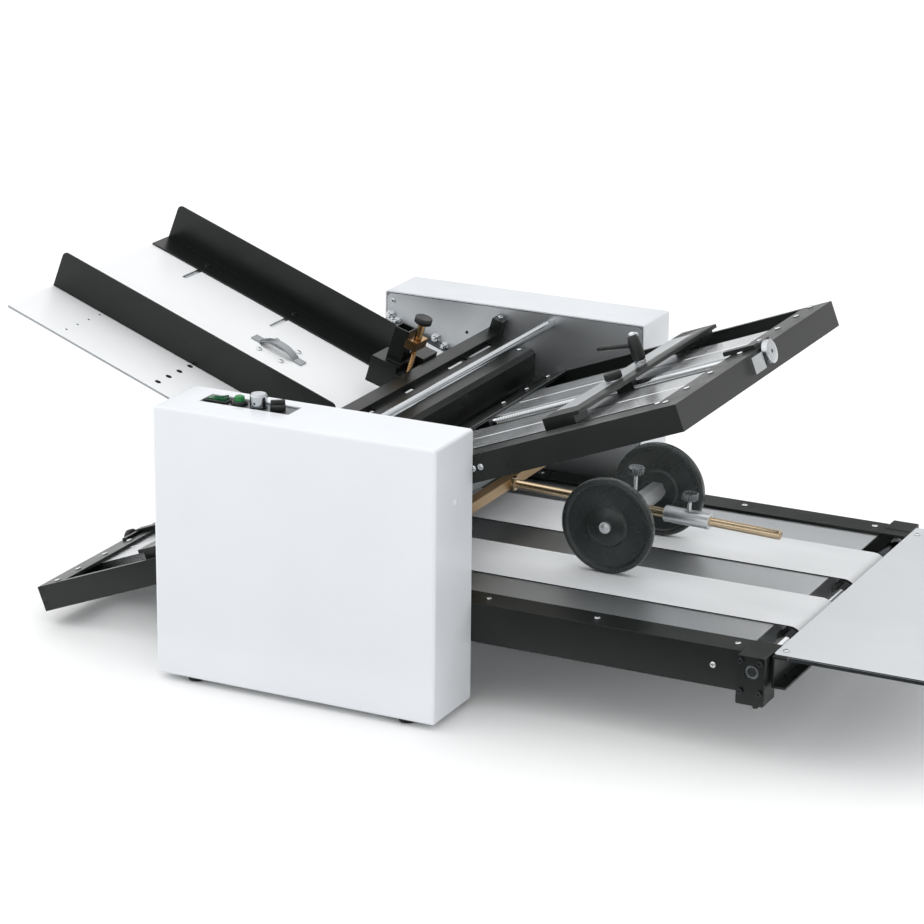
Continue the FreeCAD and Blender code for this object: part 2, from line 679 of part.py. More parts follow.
# ---------------------------------------------------------------- controls
def control_panel():
    """Panel under the window of the front cover, bored for the controls."""
    body = new_body("control_panel")
    extrude(body, "XY", f"{PANEL_TOP} - panel_sheet", "panel_sheet", lambda s: block(
        s, "panel_left - panel_lap", "panel_near - panel_lap", "panel_right + panel_lap",
        "panel_far + panel_lap"))

    def holes(sketch):
        block(sketch, "rocker_x - rocker_length / 2 - rocker_clear",
              "control_row - rocker_width / 2 - slide_gap",
              "rocker_x + rocker_length / 2 + rocker_clear", "control_row + rocker_width / 2 + slide_gap")
        disc(sketch, "button_x", "control_row", "button_radius + slide_gap")
        disc(sketch, "speed_x", "control_row", "knob_shaft + running_gap")
        disc(sketch, "selector_x", "control_row", "knob_shaft + running_gap")

    carve(body, "XY", f"{PANEL_TOP} - panel_sheet - 1", "panel_sheet + 2", holes)
    seat(body)
    publish(body)


def control_bezels():
    """Frame round the rocker and ring round the start button."""
    frame = new_body("rocker_frame")
    half_x = "(rocker_length / 2 + rocker_clear)"
    half_y = "(rocker_width / 2 + slide_gap)"
    extrude(frame, "XY", "0", "bezel_height", lambda s: block(
        s, f"-{half_x} - frame_rim", f"-{half_y} - frame_rim", f"{half_x} + frame_rim",
        f"{half_y} + frame_rim"))
    round_edges(frame, "1.5", lambda e: along(e, 2))
    carve(frame, "XY", "-1", "bezel_height + 2", lambda s: block(
        s, f"-{half_x}", f"-{half_y}", half_x, half_y))
    seat(frame, "rocker_x", "control_row", PANEL_TOP)
    ring = new_body("button_ring")
    turn_up(ring, "XZ", "V_Axis", lambda s: corners(s, [
        ("button_radius + slide_gap", "0"), ("bezel_radius", "0"), ("bezel_radius", "bezel_height - 1.5"),
        ("bezel_radius - 1.5", "bezel_height"), ("button_radius + slide_gap", "bezel_height")]))
    seat(ring, "button_x", "control_row", PANEL_TOP)
    gather("control_bezels", [frame, ring])


def power_rocker():
    """Green rocker, resting on its ON side."""
    body = new_body("power_rocker")
    half = "rocker_length / 2"
    extrude(body, "XZ", "-rocker_width / 2", "rocker_width", lambda s: corners(s, [
        (f"-{half}", "-1"), ("-3", "-rocker_sink"), ("3", "-rocker_sink"), (half, "-1"),
        (half, "rocker_rise"), ("0", "rocker_rise - 2"), (f"-{half}", "rocker_rise")]))
    carve(body, "XZ", "-rocker_width / 2 - 1", "rocker_width + 2", lambda s: disc(s, "0", "0", "rocker_pin"))
    seat(body, "rocker_x", "control_row", f"{PANEL_TOP} + 1", tilt="-8")
    publish(body)


def start_button():
    body = new_body("start_button")
    turn_up(body, "XZ", "V_Axis", lambda s: corners(s, [
        ("0", "-panel_sheet - 4"), ("button_radius", "-panel_sheet - 4"),
        ("button_radius", "bezel_height + button_rise - 1"),
        ("button_radius - 1", "bezel_height + button_rise"), ("0", "bezel_height + button_rise")]))
    seat(body, "button_x", "control_row", PANEL_TOP)
    publish(body)


def panel_knob(label, radius, height, chamfer):
    """A turned knob on its shaft."""
    body = new_body(label)
    turn_up(body, "XZ", "V_Axis", lambda s: corners(s, [
        ("0", "-panel_sheet - knob_shaft_drop"), ("knob_shaft", "-panel_sheet - knob_shaft_drop"),
        ("knob_shaft", "slide_gap"), (radius, "slide_gap"), (radius, f"{height} - {chamfer}"),
        (f"{radius} - {chamfer}", height), ("0", height)]))
    return body


def speed_knob():
    """Plain turned knob with a bevelled top."""
    body = panel_knob("speed_knob", "speed_radius", "speed_height", "2")
    seat(body, "speed_x", "control_row", PANEL_TOP)
    publish(body)


def selector_knob():
    """Knob with grip flutes round its side, and a grip bar across its top."""
    body = panel_knob("selector_knob", "selector_radius", "selector_disc", "1")
    flute = carve(body, "XY", "slide_gap + 4", "selector_disc", lambda s: disc(
        s, "selector_radius + 0.6", "0", "1.3"))
    ring_pattern(body, [flute], "Z_Axis", 8)
    extrude(body, "XY", "selector_disc - 1", "selector_height - selector_disc + 1", lambda s: block(
        s, "-selector_radius + 0.6", "-selector_bar / 2", "selector_radius - 0.6", "selector_bar / 2"))
    seat(body, "selector_x", "control_row", PANEL_TOP, turn="selector_turn")
    publish(body)


def power_inlet():
    """Three-pin inlet in the left wall of the front housing."""
    body = new_body("power_inlet")
    extrude(body, "YZ", "0", "inlet_deep", lambda s: block(
        s, "-inlet_wide / 2 + seat_gap", "-inlet_tall / 2 + seat_gap", "inlet_wide / 2 - seat_gap",
        "inlet_tall / 2 - seat_gap"))
    extrude(body, "YZ", "-2", "2", lambda s: block(
        s, "-inlet_wide / 2 - inlet_rim", "-inlet_tall / 2 - inlet_rim", "inlet_wide / 2 + inlet_rim",
        "inlet_tall / 2 + inlet_rim"))
    carve(body, "YZ", "-3", "19", lambda s: corners(s, [
        ("-11", "-7"), ("11", "-7"), ("11", "2"), ("7", "7"), ("-7", "7"), ("-11", "2")]))
    for y, z in (("0", "3"), ("-6", "-2"), ("6", "-2")):
        extrude(body, "YZ", "3", "13", lambda s, y=y, z=z: block(
            s, f"{y} - 1", f"{z} - 2", f"{y} + 1", f"{z} + 2"))
    seat(body, "0", "inlet_y", "inlet_z")
    publish(body)


# ---------------------------------------------------------------- fold rollers and drive
def shaft(label, near, far, radius="shaft_radius"):
    rod = new_body(label)
    extrude(rod, "XZ", near, f"{far} - ({near})", lambda s: disc(s, "0", "0", radius))
    return rod


def tube(label, near, far, outer, inner):
    ring = new_body(label)

    def rings(sketch):
        disc(sketch, "0", "0", outer)
        disc(sketch, "0", "0", inner)

    extrude(ring, "XZ", near, f"{far} - ({near})", rings)
    return ring


def fold_roller(label, centre, near):
    """A steel shaft with a sleeve that grips the paper."""
    x, z = centre
    core = shaft(f"{label}_shaft", near, f"{REAR_IN} + side_plate + shaft_past")
    sleeve = tube(f"{label}_sleeve", f"{FRONT_IN} + roller_inset", f"{REAR_IN} - roller_inset",
                  SLEEVE, "shaft_radius + seat_gap")
    seat(core, x, "0", z)
    seat(sleeve, x, "0", z)
    gather(label, [core, sleeve])


def gear_outline(phase):
    """Face of an involute gear, with a tooth centred on the given angle."""
    teeth = round(num("gear_teeth"))
    pitch = num("nip_centres") / 2
    module = 2 * pitch / teeth
    base = pitch * math.cos(math.radians(20))
    root = pitch - 1.2 * module
    tip = pitch + 0.95 * module
    half_tooth = math.pi / 2 / teeth - num("tooth_play") / 2 / pitch

    def involute(radius):
        if radius <= base:
            return 0
        lean = math.acos(base / radius)
        return math.tan(lean) - lean

    def spot(radius, angle):
        return FreeCAD.Vector(radius * math.cos(angle), 0, radius * math.sin(angle))

    def flank(side, centre):
        radii = (max(base, root), pitch, tip)
        return [spot(r, centre + side * (half_tooth + involute(pitch) - involute(r))) for r in radii]

    edges = []
    for k in range(teeth):
        centre = phase + 2 * math.pi * k / teeth
        left = flank(-1, centre)
        right = flank(1, centre)
        foot_left = spot(root, centre - half_tooth - involute(pitch))
        foot_right = spot(root, centre + half_tooth + involute(pitch))
        following = centre + 2 * math.pi / teeth
        next_foot = spot(root, following - half_tooth - involute(pitch))
        edges += [
            Part.LineSegment(foot_left, left[0]).toShape(),
            Part.Arc(left[0], left[1], left[2]).toShape(),
            Part.LineSegment(left[2], right[2]).toShape(),
            Part.Arc(right[2], right[1], right[0]).toShape(),
            Part.LineSegment(right[0], foot_right).toShape(),
            Part.LineSegment(foot_right, next_foot).toShape(),
        ]
    return Part.Face(Part.Wire(edges))


def roller_gear(label, centre, phase, extra=()):
    """A roller's gear, with any pulleys that share its shaft."""
    x, z = centre
    width = FreeCAD.Vector(0, num("gear_width"), 0)
    bore = Part.makeCylinder(num("shaft_radius + seat_gap"), width.y, FreeCAD.Vector(), width)
    wheel = gear_outline(phase).extrude(width).cut(bore)
    wheel.translate(FreeCAD.Vector(0, num(GEAR_Y), 0))
    shapes = [wheel] + [pulley_shape(radius, near) for radius, near in extra]
    publish(solids(label, Part.makeCompound(shapes), seated(x, "0", z)))


def pulley_shape(radius, near, bore="shaft_radius + seat_gap"):
    """A pulley with a flange on each side of its belt."""
    size = num(radius)
    width = num("belt_width")
    y = FreeCAD.Vector(0, 1, 0)
    start = num(near)
    parts = [
        Part.makeCylinder(size, width, FreeCAD.Vector(0, start, 0), y),
        Part.makeCylinder(size + 3, 2, FreeCAD.Vector(0, start - 2, 0), y),
        Part.makeCylinder(size + 3, 2, FreeCAD.Vector(0, start + width, 0), y),
    ]
    solid = parts[0].fuse(parts[1:]).removeSplitter()
    return solid.cut(Part.makeCylinder(num(bore), width + 4, FreeCAD.Vector(0, start - 2, 0), y))


def roller_gears():
    """Four equal gears that turn the fold rollers together, each in mesh with its neighbour.

    The main gear has teeth towards both neighbours' gaps; each other gear has a gap where the main
    gear's tooth points, and the last one meshes with the fold gear in the same way.
    """
    step = 2 * math.pi / round(num("gear_teeth"))
    lean = math.radians(num("nip_turn"))
    main = 0.0
    down = -lean
    infeed = meshed(main, math.pi / 2, step)
    fold = meshed(main, down, step)
    delivery = meshed(fold, math.pi + lean, step)
    roller_gear("infeed_gear", INFEED, infeed)
    pulleys = (("main_pulley_radius", "belt_near"), ("side_pulley_radius", "second_belt_near"))
    roller_gear("main_gear", MAIN, main, pulleys)
    roller_gear("fold_gear", FOLD, fold)
    roller_gear("delivery_gear", DELIVERY, delivery)


def meshed(phase, towards, step):
    """Tooth angle of a gear whose neighbour, with a tooth at phase, lies in the direction towards.

    Angles turn from x to z.  A tooth of the driving gear that is off the line of centres by some
    angle meets a gap that is off the opposite line by the same angle the other way.
    """
    off = (phase - towards) % step
    return towards + math.pi - off + step / 2


def main_motor():
    """Motor flanged to the back of the front side plate."""
    body = new_body("main_motor")
    face = "(front_depth - side_plate)"
    extrude(body, "XZ", f"{face} - 4", "4", lambda s: block(
        s, "-motor_radius", "-motor_radius", "motor_radius", "motor_radius"))
    round_edges(body, "8", lambda e: along(e, 1))
    extrude(body, "XZ", f"{face} - motor_length", "motor_length - 4",
            lambda s: disc(s, "0", "0", "motor_radius - 1"))
    extrude(body, "XZ", f"{face} - motor_length - 4", "4", lambda s: disc(s, "0", "0", "motor_radius / 2"))
    carve(body, "XZ", f"{face} - motor_length - 5", "motor_length - 4",
          lambda s: disc(s, "0", "0", "motor_shaft + running_gap"))
    carve(body, "XZ", f"{face} - motor_length + motor_end - 4", "motor_length - motor_end - 4",
          lambda s: disc(s, "0", "0", "rotor_radius + 1"))
    seat(body, "motor_x", "0", "motor_z")
    publish(body)


def motor_pulley():
    """Small pulley on the motor's shaft, with the rotor that turns inside the motor."""
    near = num("belt_near")
    end = num("front_depth - side_plate - motor_end")
    y = FreeCAD.Vector(0, 1, 0)
    long = Part.makeCylinder(num("motor_shaft"), end - near + 2, FreeCAD.Vector(0, near - 4, 0), y)
    rotor_near = num("front_depth - side_plate - motor_end - 3 - rotor_length")
    rotor = Part.makeCylinder(num("rotor_radius"), num("rotor_length"), FreeCAD.Vector(0, rotor_near, 0), y)
    wheel = pulley_shape("motor_pulley_radius", "belt_near", "motor_shaft + seat_gap")
    turning = Part.makeCompound([long.fuse(rotor).removeSplitter(), wheel])
    publish(solids("motor_pulley", turning, seated("motor_x", "0", "motor_z")))


def loop_shape(first, second, near):
    """A flat belt round two pulleys, given as (x, z, radius)."""
    def outline(extra):
        (x0, z0, r0), (x1, z1, r1) = first, second
        r0, r1 = r0 + extra, r1 + extra
        apart = math.hypot(x1 - x0, z1 - z0)
        aim = math.atan2(z1 - z0, x1 - x0)
        lean = math.acos((r0 - r1) / apart)

        def spot(x, z, r, angle):
            return FreeCAD.Vector(x + r * math.cos(angle), 0, z + r * math.sin(angle))

        a0, b0 = spot(x0, z0, r0, aim + lean), spot(x0, z0, r0, aim - lean)
        a1, b1 = spot(x1, z1, r1, aim + lean), spot(x1, z1, r1, aim - lean)
        edges = [
            Part.Arc(a0, spot(x0, z0, r0, aim + math.pi), b0).toShape(),
            Part.LineSegment(b0, b1).toShape(),
            Part.Arc(b1, spot(x1, z1, r1, aim), a1).toShape(),
            Part.LineSegment(a1, a0).toShape(),
        ]
        return Part.Face(Part.Wire(edges))

    gap = num("slide_gap")
    band = outline(gap + num("belt_sheet")).cut(outline(gap))
    solid = band.extrude(FreeCAD.Vector(0, num("belt_width - 1"), 0))
    solid.translate(FreeCAD.Vector(0, num(near) + 0.5, 0))
    return solid


def drive_belts():
    """Belt from the motor to the main roller, and belt from there to the conveyor."""
    main = (num(MAIN[0]), num(MAIN[1]))
    drive = (num(DRIVE[0]), num(DRIVE[1]))
    motor = (num("motor_x"), num("motor_z"))
    side = num("side_pulley_radius")
    first = loop_shape((*motor, num("motor_pulley_radius")), (*main, num("main_pulley_radius")), "belt_near")
    second = loop_shape((*drive, side), (*main, side), "second_belt_near")
    publish(solids("drive_belts", Part.makeCompound([first, second]), seated()))


def roller_bearings():
    """Ball bearings, flush in the side plates and recessed in the conveyor's end blocks."""
    plate = tube("plate_bearing_pattern", "0", "side_plate", "bearing_radius", "shaft_radius + running_gap")
    ends = tube("block_bearing_pattern", "0", "end_block_out + end_block_in - bearing_recess",
                "block_bearing", "shaft_radius + running_gap")
    doc.recompute()
    made = []
    for x, z in (INFEED, MAIN, FOLD, DELIVERY, FEED, DRIVE):
        for y in ("front_depth - side_plate", REAR_IN):
            made.append((plate, seated(x, y, z)))
    made.append((ends, seated(END[0], "front_depth - end_block_out + bearing_recess", END[1])))
    made.append((ends, seated(END[0], f"{REAR_IN} - end_block_in", END[1])))
    shapes = [moved(body, place) for body, place in made]
    publish(solids("roller_bearings", Part.makeCompound(shapes), FreeCAD.Placement()))


def roller_guard():
    """Bevelled black hood over the fold rollers, from side plate to side plate."""
    body = new_body("roller_guard")
    extrude(body, "XZ", FRONT_IN, "throat", lambda s: corners(s, [
        ("guard_left", "guard_back"), ("guard_left", "guard_top - guard_bevel"),
        ("guard_left + guard_bevel", "guard_top"), ("guard_right - guard_bevel", "guard_top"),
        ("guard_right", "guard_top - guard_bevel"), ("guard_right", "guard_skirt"),
        ("guard_right - guard_sheet", "guard_skirt"),
        ("guard_right - guard_sheet", "guard_top - guard_bevel - guard_sheet * 0.4"),
        ("guard_right - guard_bevel - guard_sheet * 0.4", "guard_top - guard_sheet"),
        ("guard_left + guard_bevel + guard_sheet * 0.4", "guard_top - guard_sheet"),
        ("guard_left + guard_sheet", "guard_top - guard_bevel - guard_sheet * 0.4"),
        ("guard_left + guard_sheet", "guard_back")]))
    seat(body)
    publish(body)


# ---------------------------------------------------------------- feed table and guides
def feed_table():
    """Sloping table: holes and slots in its face, hems with studs where the side plates hold it."""
    body = new_body("feed_table")
    extrude(body, "XY", "-table_sheet", "table_sheet", lambda s: block(
        s, "0", "table_near", "table_length", "table_far"))
    round_edges(body, "4", lambda e: along(e, 2))
    for near in ("table_near", "table_far - table_sheet"):
        extrude(body, "XZ", near, "table_sheet", lambda s: block(
            s, "table_length - hem_length", "-table_hem", "table_length", "-table_sheet"))
    for u in ("table_length - hem_length + 25", "table_length - 25"):
        for near, far in ((FRONT_IN, "table_near"), ("table_far", REAR_IN)):
            extrude(body, "XZ", near, f"{far} - ({near})", lambda s, u=u: disc(
                s, u, "-table_hem / 2", "stud_radius"))

    def openings(sketch):
        for k in range(4):
            y = f"hole_row_start + {k} * hole_pitch"
            disc(sketch, "small_row_u", y, "small_hole")
            disc(sketch, "large_row_u", y, "large_hole")
        for u in ("guide_slot_u", "guide_slot_u + guide_slot_pitch"):
            oblong(sketch, u, f"{REAR_GUIDE_SCREW} - guide_travel_in", u,
                   f"{REAR_GUIDE_SCREW} + guide_travel_out", "slot_radius")
        oblong(sketch, "strap_u - strap_span / 2 + strap_window / 2", "strap_y",
               "strap_u + strap_span / 2 - strap_window / 2", "strap_y", "strap_window / 2")

    carve(body, "XY", "-table_sheet - 1", "table_sheet + 2", openings)
    seat(body, **TABLE)
    publish(body)


def guide(label, wall_near, flange_near, length, screw_y):
    """An L-shaped paper guide with rounded wall corners, held by two pan screws."""
    bar = new_body(f"{label}_angle")
    top = "guide_wall"
    extrude(bar, "XZ", wall_near, "guide_sheet", lambda s: corners(s, [
        ("0", "slide_gap"), (length, "slide_gap"), (length, top), ("0", top)]))
    round_edges(bar, "guide_round", lambda e: along(e, 1) and e.CenterOfMass.z > 1)
    extrude(bar, "XY", "slide_gap", "guide_sheet", lambda s: block(
        s, "0", flange_near, length, f"{flange_near} + guide_flange"))
    seat(bar, **TABLE)
    screw = pan_body(f"{label}_screw")
    places = []
    for u in ("guide_slot_u", "guide_slot_u + guide_slot_pitch"):
        local = FreeCAD.Placement(vec(u, screw_y, "slide_gap + guide_sheet"), FreeCAD.Rotation())
        places.append(seated(**TABLE).multiply(local))
    heads = copies(f"{label}_screws", screw, places)
    gather(label, [bar, heads])


def front_guide():
    """Front guide, screwed into the last holes of the two rows."""
    guide("front_guide", "front_guide_y", "front_guide_y + guide_sheet", "front_guide_length",
          FRONT_GUIDE_SCREW)


def rear_guide():
    """Rear guide, which slides along its two slots to the width of the paper."""
    guide("rear_guide", "rear_guide_y - guide_sheet", "rear_guide_y - guide_sheet - guide_flange",
          "rear_guide_length", REAR_GUIDE_SCREW)


def pile_strap():
    """Arched strap over the oblong window, on two flat feet."""
    half = num("strap_span") / 2
    rise = num("strap_rise")
    sheet_size = num("strap_sheet")
    foot = 12

    def path(lift, inset):
        return [
            FreeCAD.Vector(-half - foot, 0, lift), FreeCAD.Vector(-half + inset, 0, lift),
            FreeCAD.Vector(0, 0, rise + lift), FreeCAD.Vector(half - inset, 0, lift),
            FreeCAD.Vector(half + foot, 0, lift),
        ]

    low, high = path(0, sheet_size / 2), path(sheet_size, 0)
    edges = [
        Part.LineSegment(low[0], low[1]).toShape(), Part.Arc(low[1], low[2], low[3]).toShape(),
        Part.LineSegment(low[3], low[4]).toShape(), Part.LineSegment(low[4], high[4]).toShape(),
        Part.LineSegment(high[4], high[3]).toShape(), Part.Arc(high[3], high[2], high[1]).toShape(),
        Part.LineSegment(high[1], high[0]).toShape(), Part.LineSegment(high[0], low[0]).toShape(),
    ]
    strap = Part.Face(Part.Wire(edges)).extrude(FreeCAD.Vector(0, num("strap_width"), 0))
    local = FreeCAD.Placement(vec("strap_u", "strap_y - strap_width / 2", "0"), FreeCAD.Rotation())
    publish(solids("pile_strap", strap, seated(**TABLE).multiply(local)))


def feed_roller():
    """Rubber feed roller under the end of the table."""
    x, z = FEED
    core = shaft("feed_shaft", "front_depth - side_plate - 30", f"{REAR_IN} + side_plate + shaft_past")
    sleeve = tube("feed_sleeve_ring", f"{MIDDLE} - feed_sleeve / 2", f"{MIDDLE} + feed_sleeve / 2",
                  "feed_radius", "shaft_radius + seat_gap")
    seat(core, x, "0", z)
    seat(sleeve, x, "0", z)
    gather("feed_roller", [core, sleeve])


# ---------------------------------------------------------------- cross beam and separator
APRON_SLOTS = ((0.235, 0.268), (0.428, 0.479), (0.668, 0.772), (0.784, 0.92))  # shares of the throat


def cross_beam():
    """Black beam from side plate to side plate, with a slotted strip along its lower edge."""
    body = new_body("cross_beam")
    extrude(body, "XZ", FRONT_IN, "throat", lambda s: corners(s, [
        ("0", "-beam_thick"), ("beam_width + apron_width", "-beam_thick"),
        ("beam_width + apron_width", "-beam_thick + apron_sheet"),
        ("beam_width", "-beam_thick + apron_sheet"), ("beam_width", "0"), ("0", "0")]))
    for near in (FRONT_IN, f"{REAR_IN} - beam_block"):
        extrude(body, "XZ", near, "beam_block", lambda s: block(
            s, "2", "-1", "2 + beam_block", "beam_block"))

    def windows(sketch):
        middle = "(beam_width + apron_slot_in)"
        for start, end in APRON_SLOTS:
            oblong(sketch, middle, f"{FRONT_IN} + throat * {start} + apron_slot", middle,
                   f"{FRONT_IN} + throat * {end} - apron_slot", "apron_slot")

    carve(body, "XY", "-beam_thick - 1", "apron_sheet + 2", windows)
    seat(body, **BEAM)
    publish(body)


def separator_bracket():
    """Separator's base with its tongue under the beam, the tube that stands on it, and a raised cheek."""
    body = new_body("separator_bracket")
    near = "(separator_y - base_wide / 2)"
    right = "(tube_left + tube_size + 2)"
    extrude(body, "XZ", near, "base_wide", lambda s: corners(s, [
        ("base_left", "base_low"), (right, "base_low"), (right, "-beam_thick - tongue_sheet"),
        ("beam_width", "-beam_thick - tongue_sheet"), ("beam_width", "-beam_thick"),
        (right, "-beam_thick"), (right, "base_top"), ("base_left", "base_top")]))
    extrude(body, "XZ", f"{near} + base_wide", "cheek_wide", lambda s: block(
        s, "cheek_left", "base_low", "-1", "cheek_top"))
    tube_near = "(separator_y - tube_size / 2)"
    extrude(body, "XY", "base_top", "tube_top - base_top", lambda s: block(
        s, "tube_left", tube_near, "tube_left + tube_size", f"{tube_near} + tube_size"))
    carve(body, "XY", "tube_top - tube_bore", "tube_bore + 1", lambda s: block(
        s, "tube_left + tube_wall", f"{tube_near} + tube_wall", "tube_left + tube_size - tube_wall",
        f"{tube_near} + tube_size - tube_wall"))
    seat(body, **BEAM)
    publish(body)


def separator_block():
    """Brass block on the side of the tube, bored for the screw."""
    body = new_body("separator_block")
    left = "(tube_left + tube_size)"
    extrude(body, "XY", "block_low", "block_tall", lambda s: block(
        s, left, "separator_y - block_long / 2", f"{left} + block_width", "separator_y + block_long / 2"))
    carve(body, "XY", "block_low - 1", "block_tall + 2", lambda s: disc(
        s, "screw_u", "separator_y", "screw_radius + running_gap"))
    seat(body, **BEAM)
    publish(body)


def separator_screw():
    """Brass screw with its collar, moulded into a round knob."""
    stem = new_body("separator_stem")
    tip = "(-beam_thick + slide_gap)"
    collar = "(block_low + block_tall + slide_gap)"
    turn_up(stem, "XZ", "V_Axis", lambda s: corners(s, [
        ("0", tip), ("screw_radius - 1", tip), ("screw_radius", f"{tip} + 1"), ("screw_radius", collar),
        ("collar_radius", collar), ("collar_radius", "knurl_low"), ("0", "knurl_low")]))
    knob = new_body("separator_knob")
    turn_up(knob, "XZ", "V_Axis", lambda s: corners(s, [
        ("0", "knurl_low"), ("knurl_radius - 1", "knurl_low"), ("knurl_radius", "knurl_low + 1"),
        ("knurl_radius", "knurl_low + knurl_height - 1"), ("knurl_radius - 1", "knurl_low + knurl_height"),
        ("0", "knurl_low + knurl_height")]))
    for piece in (stem, knob):
        spot = dict(BEAM, x=f"beam_x + screw_u * cos(beam_tilt)", y="separator_y",
                    z="beam_z - screw_u * sin(beam_tilt)")
        seat(piece, **spot)
    gather("separator_screw", [stem, knob])


# ---------------------------------------------------------------- folding plates
def slat_starts():
    """Near edges of the two slats, with the gap for the spindle and the stop's web between them."""
    return [f"(front_depth + first_slat + {k} * (slat_width + spindle_slit))" for k in range(2)]


SPINDLE_Y = "(front_depth + first_slat + slat_width + spindle_slit - spindle_side)"


def plate_frame(label, reach, place):
    """Two side bars, the end plate between them, the clamp block beside the knob, the spindle's cover."""
    pieces = []
    for side, near in (("front", FRONT_IN), ("rear", f"{REAR_IN} - bar_thick")):
        bar = new_body(f"{label}_{side}_bar")
        extrude(bar, "XZ", near, "bar_thick", lambda s: block(
            s, f"-{reach}", "-bar_height", "-bar_thick", "0"))
        pieces.append(bar)
    plate = new_body(f"{label}_end_plate")
    extrude(plate, "XZ", FRONT_IN, "throat", lambda s: block(s, "-bar_thick", "-bar_height", "0", "0"))
    carve(plate, "YZ", "-bar_thick - 1", "bar_thick + 2", lambda s: disc(
        s, SPINDLE_Y, "-spindle_drop", "spindle_radius + running_gap"))
    pieces.append(plate)
    clamp = new_body(f"{label}_clamp_block")
    edge = f"({SPINDLE_Y} - dial_radius - 5)"
    extrude(clamp, "YZ", "0", "dial_block_thick", lambda s: block(
        s, f"{edge} - dial_block", "-dial_block_tall - 3", edge, "-3"))
    pieces.append(clamp)
    shield = new_body(f"{label}_spindle_cover")
    extrude(shield, "XY", "0", "stop_top - stop_sheet - 1.5", lambda s: block(
        s, "-bar_thick - cover_reach", f"{SPINDLE_Y} - 7", "-bar_thick", f"{SPINDLE_Y} + 7"))
    extrude(shield, "XY", "0", "4", lambda s: block(
        s, "-bar_thick - 8", f"{SPINDLE_Y} + 6", "-bar_thick", f"{SPINDLE_Y} + cover_arm"))
    pieces.append(shield)
    for piece in pieces:
        seat(piece, **place)
    gather(label, pieces)


def plate_slats(label, reach, place):
    """Upper and lower grid: grooved aluminium slats with the paper slot between them."""
    pieces = []
    for level, top in (("top", "-strip_sheet"), ("low", f"-{GRID_LOW}")):
        for k, start in enumerate(slat_starts(), 1):
            slat = new_body(f"{label}_{level}_{k}")
            end, middle = f"{start} + slat_width", f"{start} + slat_width / 2"
            low = f"{top} - slat_thick"
            extrude(slat, "YZ", f"-{reach} + 8", f"{reach} - 8 - bar_thick", lambda s: corners(s, [
                (start, low), (end, low), (end, top), (f"{middle} + groove_half", top),
                (middle, f"{top} - slat_groove"), (f"{middle} - groove_half", top), (start, top)]))
            seat(slat, **place)
            pieces.append(slat)
    gather(label, pieces)


def plate_strips():
    """Cross strips that tie the slats of both plates together, above and below."""
    pieces = []
    near = f"({FRONT_IN} + bar_thick)"
    far = f"({REAR_IN} - bar_thick)"
    for plate, reach, place in (("upper", "upper_reach", UPPER), ("lower", "lower_reach", LOWER)):
        end = ("-end_strip - bar_thick", "-bar_thick")
        mouth = (f"-{reach}", f"-{reach} + mouth_strip")
        levels = (("top", "-strip_sheet"), ("low", f"-{GRID_LOW} - slat_thick - strip_sheet"))
        for side, (left, right) in (("end", end), ("mouth", mouth)):
            for level, low in levels:
                if side == "mouth" and level == "low":
                    left = f"{left} + roller_room"
                strip = new_body(f"{plate}_{side}_strip_{level}")
                extrude(strip, "XY", low, "strip_sheet", lambda s: block(s, left, near, right, far))
                if side == "mouth" and level == "top":
                    spindle_foot(strip, left)
                seat(strip, **place)
                pieces.append(strip)
    gather("plate_strips", pieces)


def spindle_foot(strip, left):
    """Bearing block for the end of the spindle, under the mouth strip."""
    extrude(strip, "YZ", f"{left} + 14", "mouth_strip - 14", lambda s: block(
        s, f"{SPINDLE_Y} - 7", "-spindle_drop - spindle_radius - 3", f"{SPINDLE_Y} + 7", "-strip_sheet"))
    carve(strip, "YZ", f"{left} + 20", "mouth_strip", lambda s: disc(
        s, SPINDLE_Y, "-spindle_drop", "spindle_radius + running_gap"))


